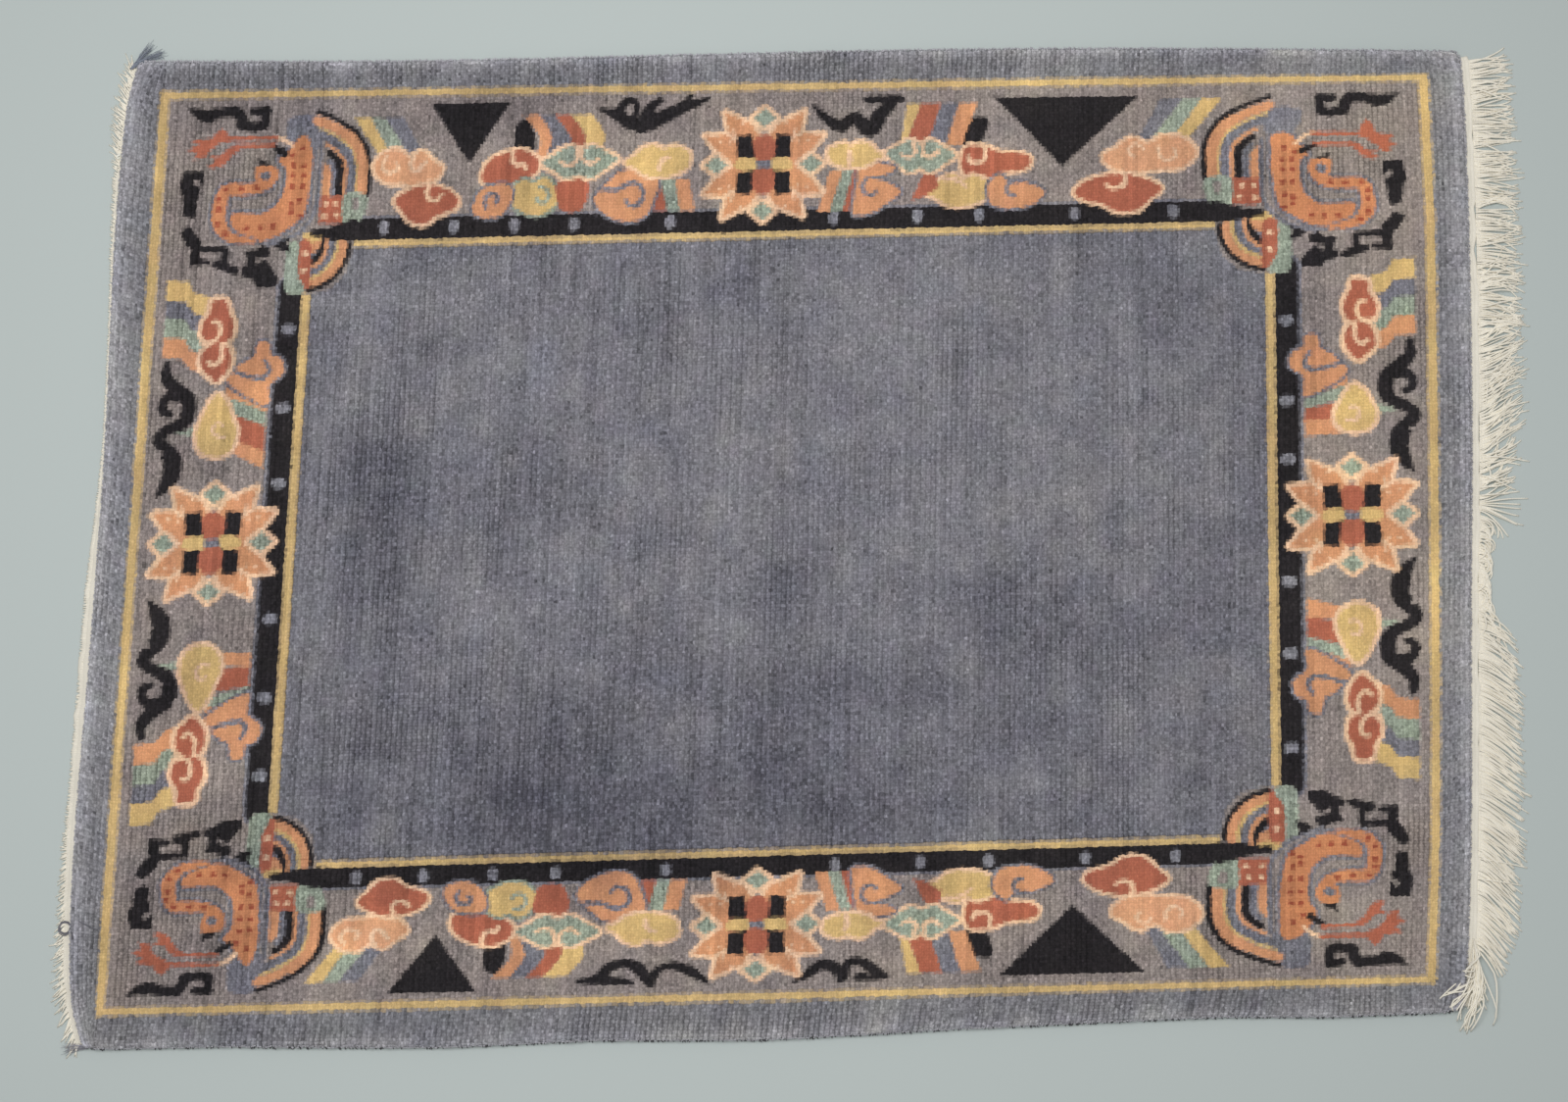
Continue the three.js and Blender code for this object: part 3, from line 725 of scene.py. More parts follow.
class RugPlan:
    """Where a place on the chart lies on the rug, in mm: between the gold lines, or out to the rim."""

    def __init__(self):
        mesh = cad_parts["pile_body"].data
        points = np.empty(len(mesh.vertices) * 3)
        mesh.vertices.foreach_get("co", points)
        points = points.reshape(-1, 3) / MM
        self.height = points[:, 2].max()
        widest = points[np.abs(points[:, 2] - self.height * WIDEST_LEVEL) < LEVEL_SPARE]
        ring = np.unique(widest[:, :2].round(2), axis=0)
        ring = ring[np.argsort(np.arctan2(ring[:, 1], ring[:, 0]))]
        near_left, near_right, far_right, far_left = (
            int(np.argmax(ring @ (x * RUG_SHAPE, y))) for x, y in ((-1, -1), (1, -1), (1, 1), (-1, 1)))
        self.sides = {
            "near": self.stretch(ring, near_left, near_right),
            "right": self.stretch(ring, near_right, far_right),
            "far": self.stretch(ring, far_right, far_left)[::-1],
            "left": self.stretch(ring, far_left, near_left)[::-1],
        }
        gone = self.measure(self.sides["near"])
        share = np.linspace(0, 1, 81)
        near = on_path(share * gone[-1], gone, self.sides["near"])
        near[:, 1] += np.interp(share, *NEAR_WAVE)
        self.sides["near"] = near
        ends = {"near": CROSSINGS[[0, 3], 0], "far": CROSSINGS[[0, 3], 3],
                "left": CROSSINGS[0, [0, 3]], "right": CROSSINGS[3, [0, 3]]}
        self.spans = {name: self.span(self.sides[name], *ends[name]) for name in self.sides}

    @staticmethod
    def stretch(ring, first, last):
        return ring[first:last + 1] if first <= last else np.concatenate([ring[first:], ring[:last + 1]])

    @staticmethod
    def measure(side):
        steps = np.linalg.norm(np.diff(side, axis=0), axis=1)
        return np.concatenate([[0], np.cumsum(steps)])

    def length(self, name):
        """Whole length of one side."""
        return self.measure(self.sides[name])[-1]

    def span(self, side, low, high):
        """Lengths along a side that lie beside two crossings of the gold lines, and its whole length."""
        gone = self.measure(side)
        fine = np.linspace(0, gone[-1], 4000)
        dense = on_path(fine, gone, side)
        beside = [fine[np.argmin(np.linalg.norm(dense - p, axis=1))] for p in (low, high)]
        return 0.0, beside[0], beside[1], gone[-1]

    def rim(self, name, chart_place):
        """The rim beside a place along one side of the chart."""
        length = CHART_LENGTH if name in ("near", "far") else CHART_WIDTH
        stations = (-CHART_MARGIN, 0, length, length + CHART_MARGIN)
        gone = np.interp(chart_place, stations, self.spans[name])
        return on_path(gone, self.measure(self.sides[name]), self.sides[name])

    def rim_at(self, name, share):
        """A point on one side at a share of its length, and the direction straight out of it."""
        side = self.sides[name]
        gone = self.measure(side)
        here = np.asarray(share, float) * gone[-1]

        def point(at):
            return on_path(np.clip(at, 0, gone[-1]), gone, side)

        along = point(here + RIM_REACH) - point(here - RIM_REACH)
        along /= np.linalg.norm(along, axis=-1, keepdims=True)
        turn = 1 if name in ("near", "right") else -1
        return point(here), np.stack([along[..., 1], -along[..., 0]], -1) * turn

    def inside(self, u, v):
        """A place on or between the outer gold lines."""
        i = np.clip(np.searchsorted(LINES_ALONG, u, side="right") - 1, 0, 2)
        j = np.clip(np.searchsorted(LINES_ACROSS, v, side="right") - 1, 0, 2)
        lines_u, lines_v = np.array(LINES_ALONG), np.array(LINES_ACROSS)
        x = ((u - lines_u[i]) / (lines_u[i + 1] - lines_u[i]))[..., None]
        y = ((v - lines_v[j]) / (lines_v[j + 1] - lines_v[j]))[..., None]
        near = CROSSINGS[i, j] * (1 - x) + CROSSINGS[i + 1, j] * x
        far = CROSSINGS[i, j + 1] * (1 - x) + CROSSINGS[i + 1, j + 1] * x
        bow = RIGHT_BOW * np.sin(np.pi * v / CHART_WIDTH) * np.clip((u - lines_u[2]) / BORDER_DEPTH, 0, 1)
        return near * (1 - y) + far * y + np.stack([bow, np.zeros_like(bow)], -1)

    def place(self, u, v):
        """A place anywhere on the chart, the margin drawn out to the rim."""
        u, v = np.broadcast_arrays(np.asarray(u, float), np.asarray(v, float))
        inner_u, inner_v = np.clip(u, 0, CHART_LENGTH), np.clip(v, 0, CHART_WIDTH)
        home = self.inside(inner_u, inner_v)
        a = (np.abs(u - inner_u) / CHART_MARGIN)[..., None]
        b = (np.abs(v - inner_v) / CHART_MARGIN)[..., None]
        right, far = (u > CHART_LENGTH / 2)[..., None], (v > CHART_WIDTH / 2)[..., None]

        def end_rim(at):
            return np.where(right, self.rim("right", at), self.rim("left", at))

        def long_rim(at):
            return np.where(far, self.rim("far", at), self.rim("near", at))

        side_out = np.where(far, CHART_WIDTH + CHART_MARGIN, -CHART_MARGIN)[..., 0]
        end_home, long_home, corner = end_rim(inner_v), long_rim(inner_u), end_rim(side_out)
        ruled = (1 - b) * ((1 - a) * home + a * end_home) + b * ((1 - a) * long_home + a * long_rim(u))
        crossed = (1 - a) * ((1 - b) * home + b * long_home) + a * end_rim(v)
        flat = (1 - a) * (1 - b) * home + a * (1 - b) * end_home + b * ((1 - a) * long_home + a * corner)
        return ruled + crossed - flat


def cloudy(rng, shape, cells):
    """Soft random blotches: a coarse grid of random values, drawn out smoothly."""
    values = rng.normal(size=(cells[0] + 2, cells[1] + 2))
    for axis in (0, 1):
        at = np.linspace(0, cells[axis], shape[axis])
        low = np.minimum(at.astype(int), cells[axis])
        share = at - low
        share = share * share * (3 - 2 * share)
        first = np.take(values, low, axis)
        second = np.take(values, low + 1, axis)
        share = share[:, None] if axis == 0 else share[None, :]
        values = first * (1 - share) + second * share
    return values


# The map of a flat piece: where it starts, its size, and how small the hidden face becomes.
MAP_EDGE = 0.03
MAP_SIZE = 0.96
HIDDEN_SIZE = 0.02


def face_corners(faces):
    """The points of all the faces, face by face."""
    return np.concatenate([part.ravel() for part in faces])


def rim_of(grid):
    """Points of a grid that lie on its rim, in order round it."""
    return np.concatenate([grid[:, 0], grid[-1, 1:], grid[-2::-1, -1], grid[0, -2:0:-1]])


def seen_from_above(points, faces, rim):
    """The piece's own map, as it lies; its last face is hidden in the rug and folded into a corner."""
    flat = points[:, :2]
    low, high = flat.min(0), flat.max(0)
    uv = (MAP_EDGE + MAP_SIZE * (flat - low) / (high - low))[face_corners(faces)]
    uv[-len(rim):] *= HIDDEN_SIZE
    return uv


def mesh_object(name, points, faces, material, uv, uv_name="OFBake", colours=None, depth=None):
    """A smooth mesh from arrays of points in mm and lists of equal-sided faces.

    Colours go on the faces or on the points, by their number."""
    mesh = bpy.data.meshes.new(name)
    sizes = np.concatenate([np.full(len(part), part.shape[1]) for part in faces])
    corners = face_corners(faces).astype(np.int32)
    mesh.vertices.add(len(points))
    mesh.vertices.foreach_set("co", (points * MM).astype(np.float32).ravel())
    mesh.loops.add(len(corners))
    mesh.loops.foreach_set("vertex_index", corners)
    mesh.polygons.add(len(sizes))
    mesh.polygons.foreach_set("loop_start", (np.cumsum(sizes) - sizes).astype(np.int32))
    mesh.update(calc_edges=True)
    mesh.validate()
    mesh.shade_smooth()
    if colours is not None:
        shades = np.concatenate([colours, np.ones((len(colours), 1))], 1)
        layer = mesh.attributes.new("yarn", "FLOAT_COLOR", "POINT" if len(colours) == len(points) else "FACE")
        layer.data.foreach_set("color", shades.astype(np.float32).ravel())
    # depth holds each point's level of painted shade and light, which the pile's material turns into darker
    # grooves and paler tips.
    if depth is not None:
        mesh.attributes.new("depth", "FLOAT", "POINT").data.foreach_set("value", depth.astype(np.float32))
    mesh.uv_layers.new(name=uv_name).data.foreach_set("uv", uv.astype(np.float32).ravel())
    mesh.materials.append(material)
    piece = bpy.data.objects.new(name, mesh)
    bpy.context.scene.collection.objects.link(piece)
    return piece


# A slightly leaning up, so that no yarn runs straight along it.
UP = (0.03, 0.02, 1.0)


def round_yarns(name, paths, widths, sides, material, colours=None):
    """Yarns along paths in mm, as one mesh; its UV map runs round each yarn and along it."""
    count, rings = paths.shape[:2]
    ahead = np.gradient(paths, axis=1)
    ahead /= np.maximum(np.linalg.norm(ahead, axis=-1, keepdims=True), TINY)
    side = np.cross(ahead, UP)
    side /= np.maximum(np.linalg.norm(side, axis=-1, keepdims=True), TINY)
    lift = np.cross(side, ahead)
    turn = 2 * np.pi * np.arange(sides) / sides
    spokes = side[:, :, None] * np.cos(turn)[:, None] + lift[:, :, None] * np.sin(turn)[:, None]
    points = paths[:, :, None] + spokes * (widths / 2)[:, :, None, None]
    at = np.arange(count * rings * sides).reshape(count, rings, sides)
    beside = np.roll(at, -1, 2)
    walls = np.stack([at[:, :-1], at[:, 1:], beside[:, 1:], beside[:, :-1]], -1).reshape(-1, 4)
    ends = np.concatenate([at[:, 0], at[:, -1, ::-1]])
    steps = np.linalg.norm(np.diff(paths, axis=1), axis=-1)
    gone = np.concatenate([np.zeros((count, 1)), np.cumsum(steps, 1)], 1) / TWIST_PITCH
    first = np.broadcast_to((np.arange(sides) / sides)[None, None], (count, rings - 1, sides))
    low = np.broadcast_to(gone[:, :-1, None], first.shape)
    high = np.broadcast_to(gone[:, 1:, None], first.shape)
    second = first + 1 / sides
    uv = np.stack([first, low, first, high, second, high, second, low], -1).reshape(-1, 2)
    uv = np.concatenate([uv, np.zeros((ends.size, 2))])
    if colours is not None:
        colours = np.repeat(colours.reshape(-1, 3), sides, 0)
    return mesh_object(name, points.reshape(-1, 3), [walls, ends], material, uv, "twist", colours)


def add_node(tree, kind, settings=None, links=None, output=0):
    """Adds a shader node, sets its properties and sockets, links its inputs and gives one output."""
    node = tree.nodes.new("ShaderNode" + kind)
    for name, value in (settings or {}).items():
        if isinstance(name, str) and hasattr(node, name):
            setattr(node, name, value)
        else:
            node.inputs[name].default_value = value
    for name, source in (links or {}).items():
        tree.links.new(source, node.inputs[name])
    return node.outputs[output] if node.outputs else None


def new_material(name):
    material = bpy.data.materials.new(name)
    material.use_nodes = True
    material.node_tree.nodes.clear()
    return material, material.node_tree


def finish_material(tree, settings, links):
    shader = add_node(tree, "BsdfPrincipled", settings, links)
    add_node(tree, "OutputMaterial", links={"Surface": shader})


def per_metre(millimetres):
    """Texture scale whose pattern repeats at a real size."""
    return 1 / (millimetres * MM)


def wave_scale(repeats):
    """Scale of a wave texture whose straight bands repeat so often in each unit of its coordinates."""
    return repeats * math.pi / 10


# Wool scatters light softly; cut ends and loose yarns also brighten at grazing angles.
MATT_WOOL = {"Roughness": 0.95, "Specular IOR Level": 0.2}
SOFT_WOOL = {**MATT_WOOL, "Sheen Weight": 0.12, "Sheen Roughness": 0.5}


def wool_pile_material():
    """Cut wool pile: matt, softly bright at grazing angles, speckled by the ends of its fibres, with painted
    shade in its grooves and a painted highlight on its tips.
    """
    material, tree = new_material("cut wool pile")
    space = add_node(tree, "TexCoord", output="Object")
    drawn_out = add_node(tree, "VectorMath", {"operation": "MULTIPLY", 1: (1, 0.75, 1)}, {0: space})
    yarn = add_node(tree, "Attribute", {"attribute_name": "yarn"})
    fibres = add_node(tree, "TexNoise", {"Scale": per_metre(2.2), "Detail": 3.0, "Roughness": 0.65},
                      {"Vector": drawn_out}, "Fac")
    speckle = add_node(tree, "MapRange", {"From Min": 0.3, "From Max": 0.7, "To Min": 0.69, "To Max": 1.31},
                       {"Value": fibres})
    dye = add_node(tree, "SeparateColor", {"mode": "HSV"}, {"Color": yarn}, "Green")
    mixed = add_node(tree, "MapRange", {"From Min": 0.2, "From Max": 0.6, "To Min": 1.0, "To Max": 0.5},
                     {"Value": dye})
    speckle = add_node(tree, "Mix", {"A": 1.0}, {"Factor": mixed, "B": speckle})
    # The depth attribute carries painted shade and light: grooves between tufts are painted darker and the
    # tips paler.
    depth = add_node(tree, "Attribute", {"attribute_name": "depth"}, output="Fac")
    groove = add_node(tree, "MapRange", {"To Min": 0.6, "To Max": 1.45}, {"Value": depth})
    shade = add_node(tree, "Math", {"operation": "MULTIPLY"}, {0: speckle, 1: groove})
    colour = add_node(tree, "VectorMath", {"operation": "SCALE"}, {"Vector": yarn, "Scale": shade})
    relief = add_node(tree, "Bump", {"Strength": 0.5, "Distance": 0.6 * MM}, {"Height": fibres})
    finish_material(tree, SOFT_WOOL, {"Base Color": colour, "Normal": relief})
    return material


def knotted_back_material():
    """Back of the knots: flat, ribbed along the wefts with painted shade between the ribs, each knot a small
    loop.
    """
    material, tree = new_material("knotted wool back")
    space = add_node(tree, "TexCoord", output="Object")
    yarn = add_node(tree, "Attribute", {"attribute_name": "yarn"})
    ribs = add_node(tree, "TexWave", {"wave_type": "BANDS", "bands_direction": "X", "Distortion": 1.5,
                                      "Scale": wave_scale(per_metre(KNOT_ROW)), "Detail": 2.0},
                    {"Vector": space}, "Fac")
    # Painted shade between the ribs.
    shade = add_node(tree, "MapRange", {"To Min": 0.72, "To Max": 1.0}, {"Value": ribs})
    colour = add_node(tree, "VectorMath", {"operation": "SCALE"}, {"Vector": yarn, "Scale": shade})
    relief = add_node(tree, "Bump", {"Strength": 0.7, "Distance": 0.8 * MM}, {"Height": ribs})
    finish_material(tree, MATT_WOOL, {"Base Color": colour, "Normal": relief})
    return material


def cotton_with_dust_and_rib_shade(tree, cotton, grime, tones, height, rib_shades):
    """Colour of cotton with painted shade between its ribs, and a little grimy."""
    tone = add_node(tree, "MapRange", {"From Min": 0.3, "From Max": 0.7, "To Min": tones[0],
                                       "To Max": tones[1]}, {"Value": grime})
    rib_shade = add_node(tree, "MapRange", {"To Min": rib_shades[0], "To Max": rib_shades[1]}, {"Value": height})
    shade = add_node(tree, "Math", {"operation": "MULTIPLY"}, {0: tone, 1: rib_shade})
    return add_node(tree, "VectorMath", {"operation": "SCALE", 0: cotton}, {"Scale": shade})


def spun_cotton_material(cotton):
    """Hand-spun cotton yarn: dry and pale, with the slant of its twist, painted shade between the turns of
    its twist, and a little grime.
    """
    material, tree = new_material("spun cotton yarn")
    along = add_node(tree, "UVMap", {"uv_map": "twist"})
    space = add_node(tree, "TexCoord", output="Object")
    twist = add_node(tree, "TexWave", {"wave_type": "BANDS", "bands_direction": "DIAGONAL",
                                       "Scale": wave_scale(4)}, {"Vector": along}, "Fac")
    grime = add_node(tree, "TexNoise", {"Scale": per_metre(30), "Detail": 4.0}, {"Vector": space}, "Fac")
    colour = cotton_with_dust_and_rib_shade(tree, cotton, grime, (0.93, 1.05), twist, (0.95, 1.03))
    relief = add_node(tree, "Bump", {"Strength": 0.5, "Distance": 0.3 * MM}, {"Height": twist})
    finish_material(tree, {"Roughness": 0.9, "Specular IOR Level": 0.25, "Sheen Weight": 0.08},
                    {"Base Color": colour, "Normal": relief})
    return material


def plain_weave_material(cotton):
    """Plain-woven cotton strip: fine ribs over and under with painted shade between them, pale, with a dusty
    tone; its map is in mm.
    """
    material, tree = new_material("plain cotton weave")
    along = add_node(tree, "UVMap", {"uv_map": "weave"})
    ribs = [add_node(tree, "TexWave", {"wave_type": "BANDS", "bands_direction": axis, "Distortion": 0.6,
                                       "Scale": wave_scale(1 / size)}, {"Vector": along}, "Fac")
            for axis, size in (("X", 2.2), ("Y", 1.1))]
    height = add_node(tree, "Math", {"operation": "MULTIPLY"}, {0: ribs[0], 1: ribs[1]})
    grime = add_node(tree, "TexNoise", {"Scale": 1 / 25, "Detail": 4.0}, {"Vector": along}, "Fac")
    colour = cotton_with_dust_and_rib_shade(tree, cotton, grime, (0.94, 1.05), height, (0.93, 1.04))
    relief = add_node(tree, "Bump", {"Strength": 0.6, "Distance": 0.4 * MM}, {"Height": height})
    finish_material(tree, {"Roughness": 0.92, "Specular IOR Level": 0.2},
                    {"Base Color": colour, "Normal": relief})
    return material


def wool_yarn_material():
    """Loose wool yarn and tufts: matt, each with the colour of its own dye."""
    material, tree = new_material("loose wool yarn")
    yarn = add_node(tree, "Attribute", {"attribute_name": "yarn"})
    finish_material(tree, SOFT_WOOL, {"Base Color": yarn})
    return material


# How much of the pile's height rolls down at the rim, and the lowest that a tuft may lie, in mm.
ROLL_DOWN = 0.62
LOWEST_TUFT = 0.3


def to_rim(u, v):
    """Distances on the chart from the nearer end and the nearer side of the rug."""
    return (np.minimum(u + CHART_MARGIN, CHART_LENGTH + CHART_MARGIN - u),
            np.minimum(v + CHART_MARGIN, CHART_WIDTH + CHART_MARGIN - v))


def rolled_height(plan, settings, u, v, height):
    """Pile height near the rim, where the tufts roll down."""
    a, b = (np.clip(1 - out / (settings.roll / MM), 0, 1) for out in to_rim(u, v))
    fall = 1 - np.sqrt(np.clip(1 - np.minimum(a * a + b * b, 1), 0, 1))
    return np.maximum(height - fall * (plan.height * ROLL_DOWN), LOWEST_TUFT)


# Height of the foot of a pile piece's wall, in mm; the painted light that makes the wall paler than its
# tufts;
# and the level of painted shade on the wall, on the same scale as in the grooves.
WALL_FOOT = 1.2
WALL_PAINTED_LIGHT = 1.3
WALL_SHADE_LEVEL = 0.5
# How far the corners and tips of tufts stray, in shares of a step.
CORNER_STRAY = 0.24
TIP_STRAY = 0.34
# The slow wave over the pile and the rise of single tips, in mm.
SLOW_WAVE = 0.35
TIP_RISE = 0.25
# Greyness of a dye at which the rows of knots begin to show, and over which they come to show fully.
ROWS_FROM = 0.35
ROWS_OVER = 0.4
# Depth of a groove, in shares of its setting: within a knot, between rows, more in grey wool, more where
# the rows lie open; and the painted shade in it, as the share of light left, in the same order, with less
# light for grey wool and for open rows.
GROOVE_SHARES = (0.55, 0.7, 0.2, 0.9)
GROOVE_PAINTED_SHADE = (0.66, 0.62, 0.14, 0.46)
GROOVE_RANGE = (0.7, 1.2)
# How far the colours of the knots stray from the chart along and across, in mm, and streaks along a row.
KNOT_STRAY = (0.35, 0.3)
STREAKS = 9
STREAK_TONE = 0.07
# Blotches of painted sheen: strength, and how many lie along and across.
SHEEN_BLOTCHES = ((0.06, (9, 7)), (0.07, (26, 20)), (0.06, (90, 60)))
# Scuffs: strength, how rare they are, the most that one can reach, and the tone that they take from the rest.
SCUFF_TONE = 0.12
SCUFF_FROM = 0.3
SCUFF_MOST = 1.5
SCUFF_REST = 0.02
# Red, green and blue that a paler blotch takes on, then slow changes of hue: strength, number, colour.
BLOTCH_HUE = np.array((0.02, 0, -0.25))
HUE_SHARE = 0.8
HUES = ((0.014, (50, 36), (0.5, 0, -1)), (0.014, (110, 80), (0.8, 0, 0.8)))
TONE_RANGE = (0.4, 3.2)
# Single tufts that are pale, how much paler they are, and the painted shade by which the two tufts of a knot
# differ, so that the rows show.
PALE_FROM = 0.985
PALE_TONE = 0.45
ROW_PAINTED_SHADE = 0.045
# Painted light that makes the rim paler: strength and reach in mm at the ends, at their very edge, and at the
# near and far sides.
END_PAINTED_LIGHT = (0.36, 22)
EDGE_PAINTED_LIGHT = (1.1, 4.5)
SIDE_PAINTED_LIGHT = (1.3, 1.7, 5)
# Soft patches over the chart: place along and across, reach along and across, and how much paler.
SOFT_PATCHES = np.array((
    (420, 225, 260, 100, -0.26), (245, 540, 34, 150, -0.18), (341, 471, 130, 110, -0.07),
    (683, 330, 110, 120, -0.10), (1115, 471, 60, 170, -0.06), (603, 562, 52, 110, 0.17),
    (613, 405, 42, 60, 0.17), (784, 431, 60, 150, 0.10), (915, 552, 150, 150, 0.07),
    (824, 754, 70, 60, 0.14), (228, 622, 34, 50, 0.20), (186, 370, 26, 110, 0.20),
    (190, 700, 60, 60, 0.05), (1275, 480, 95, 600, 0.13), (1240, 880, 120, 80, 0.24),
    (300, 940, 220, 32, -0.2), (640, 200, 260, 50, -0.10),
))
# The same for the places where the rows of knots lie open.
OPEN_PLACES = np.array((
    (70, 850, 90, 120, 1.3), (80, 110, 90, 130, 1.3), (90, 480, 50, 300, 0.6), (240, 720, 80, 80, 0.8),
    (250, 480, 60, 220, 0.6), (1345, 700, 24, 260, 0.4), (1250, 860, 70, 80, 0.6), (1250, 110, 80, 90, 0.4),
    (660, 985, 600, 18, 0.7), (660, -30, 600, 18, 0.7), (420, 260, 260, 120, 0.3),
))


def soft_spot(u, v, middle_u, middle_v, reach_u, reach_v):
    return np.exp(-((u - middle_u) / reach_u) ** 2 - ((v - middle_v) / reach_v) ** 2)


class PileGrid:
    """Shared corners and raised tips of all the tufts, so that neighbouring pieces meet exactly."""

    def __init__(self, plan, chart, settings):
        rng = np.random.default_rng(SEEDS["pile"])
        self.along = round(WHOLE_LENGTH * MM / settings.tuft_length)
        self.across = round(WHOLE_WIDTH * MM / settings.tuft_width)
        self.step_u = WHOLE_LENGTH / self.along
        self.step_v = WHOLE_WIDTH / self.across
        u = -CHART_MARGIN + self.step_u * np.arange(self.along + 1)
        v = -CHART_MARGIN + self.step_v * np.arange(self.across + 1)
        corner_u, corner_v = np.meshgrid(u, v, indexing="ij")
        self.tip_u, self.tip_v = np.meshgrid(u[:-1] + self.step_u / 2, v[:-1] + self.step_v / 2,
                                             indexing="ij")
        shape = corner_u.shape
        inner = np.zeros(shape)
        inner[1:-1, 1:-1] = 1
        stray = rng.uniform(-CORNER_STRAY, CORNER_STRAY, (2, *shape)) * inner
        tip_stray = rng.uniform(-TIP_STRAY, TIP_STRAY, (2, *self.tip_u.shape))
        wave = SLOW_WAVE * cloudy(rng, shape, (30, 22))
        # every second groove lies between two rows of knots; in places the pile opens there
        between = (np.arange(self.along + 1) % 2 == 0)[:, None]
        opening = 0.5 * cloudy(rng, shape, (24, 16)) + 0.42 * cloudy(rng, shape, (self.along // 2, 14)) - 0.1
        for *spot, more in OPEN_PLACES:
            opening += more * soft_spot(corner_u, corner_v, *spot)
        dyed = chart.at(corner_u, corner_v)
        plain = np.clip((dyed.min(-1) / dyed.max(-1) - ROWS_FROM) / ROWS_OVER, 0, 1)
        opening = np.clip(opening, 0, 2) * plain
        within, rows, grey, wide = GROOVE_SHARES
        depth = np.where(between, rows + grey * plain + wide * opening, within)
        # Painted shade in the grooves: the share of light left at each corner of the tufts, darker between
        # rows.
        within, rows, grey, wide = GROOVE_PAINTED_SHADE
        self.corner_painted_shade = np.where(between, rows - plain * (grey + wide * np.minimum(opening, 1)), within)
        low = plan.height - settings.groove / MM * (depth * rng.uniform(*GROOVE_RANGE, shape)) + wave
        high = plan.height + TIP_RISE * rng.normal(size=self.tip_u.shape) + wave[:-1, :-1]
        low = rolled_height(plan, settings, corner_u, corner_v, low)
        high = rolled_height(plan, settings, self.tip_u, self.tip_v, high)
        flat = plan.place(corner_u + stray[0] * self.step_u, corner_v + stray[1] * self.step_v)
        self.corners = np.concatenate([flat, low[..., None]], -1)
        flat = plan.place(self.tip_u + tip_stray[0] * self.step_u, self.tip_v + tip_stray[1] * self.step_v)
        self.tips = np.concatenate([flat, high[..., None]], -1)
        self.tuft_colour = self.colours(chart, rng)

    def colours(self, chart, rng):
        """One yarn colour for each tuft, with streaks along the wefts, blotches of painted sheen, scuffs,
        soft paler and darker patches, painted shade between the two tufts of a knot, and painted light along
        the rim.
        """
        shape = self.tip_u.shape
        knot = np.arange(shape[0]) // 2
        knots = (knot[-1] + 1, shape[1])
        ragged = rng.normal(size=(2, *knots))[:, knot] * np.array(KNOT_STRAY)[:, None, None]
        streak = cloudy(rng, knots, (knot[-1], STREAKS))[knot]
        # Blotches of painted sheen, then scuffs and soft paler and darker patches.
        blotch = sum(strength * cloudy(rng, shape, cells) for strength, cells in SHEEN_BLOTCHES)
        blotch += SCUFF_TONE * np.clip(cloudy(rng, shape, (44, 32)) - SCUFF_FROM, 0, SCUFF_MOST) - SCUFF_REST
        for *spot, paler in SOFT_PATCHES:
            blotch += paler * soft_spot(self.tip_u, self.tip_v, *spot)
        # Painted shade across each knot: one tuft paler, the other darker.
        row_shade = np.where(np.arange(shape[0]) % 2 == 0, 1, -1)[:, None]
        row_shade = row_shade * (1 + 0.5 * cloudy(rng, shape, (30, 24)))
        base = chart.at(self.tip_u + ragged[0], self.tip_v + ragged[1])
        grey = base.min(-1) / base.max(-1)
        pale = rng.random(shape) > PALE_FROM
        tone = (1 + blotch + STREAK_TONE * streak + (0.02 + 0.17 * grey ** 2) * rng.normal(size=shape)
                + PALE_TONE * pale * grey + ROW_PAINTED_SHADE * grey * row_shade)
        # Painted light along the rim: tufts near the ends and the sides are painted paler.
        ends, sides = to_rim(self.tip_u, self.tip_v)
        near, far, reach = SIDE_PAINTED_LIGHT
        rim = np.where(self.tip_v > CHART_WIDTH / 2, far, near)
        tone *= (1 + END_PAINTED_LIGHT[0] * np.exp(-(ends / END_PAINTED_LIGHT[1]) ** 2)
                 + EDGE_PAINTED_LIGHT[0] * np.exp(-ends / EDGE_PAINTED_LIGHT[1]) + rim * np.exp(-sides / reach))
        hue = HUE_SHARE * blotch[..., None] * BLOTCH_HUE
        for strength, cells, turned in HUES:
            hue = hue + strength * cloudy(rng, shape, cells)[..., None] * turned
        return base * np.clip(tone, *TONE_RANGE)[..., None] * (1 + hue)

    def piece(self, name, columns, rows, material):
        """One closed piece of pile over a range of tufts: tips, grooves, a short wall and a floor."""
        i0, i1 = columns
        j0, j1 = rows
        corner = self.corners[i0:i1 + 1, j0:j1 + 1]
        tip = self.tips[i0:i1, j0:j1].reshape(-1, 3)
        wide, deep = corner.shape[:2]
        at = np.arange(wide * deep).reshape(wide, deep)
        top = at.size + np.arange(len(tip)).reshape(wide - 1, deep - 1)
        a, b, c, d = at[:-1, :-1], at[1:, :-1], at[1:, 1:], at[:-1, 1:]
        cells = [np.stack([p, q, top], -1).reshape(-1, 3) for p, q in ((a, b), (b, c), (c, d), (d, a))]
        ring = rim_of(at)
        foot = corner.reshape(-1, 3)[ring]
        foot[:, 2] = WALL_FOOT
        floor = at.size + len(tip) + np.arange(len(ring))
        wall = np.stack([np.roll(ring, -1), ring, floor, np.roll(floor, -1)], -1)
        points = np.concatenate([corner.reshape(-1, 3), tip, foot])
        tufts = self.tuft_colour[i0:i1, j0:j1]
        # Painted light on the wall: it takes the colours of the tufts beside it, made paler.
        beside = np.concatenate([tufts[:, 0], tufts[-1], tufts[::-1, -1], tufts[0, ::-1]]) * WALL_PAINTED_LIGHT
        colours = np.concatenate([np.tile(tufts.reshape(-1, 3), (4, 1)), beside, beside[:1]])
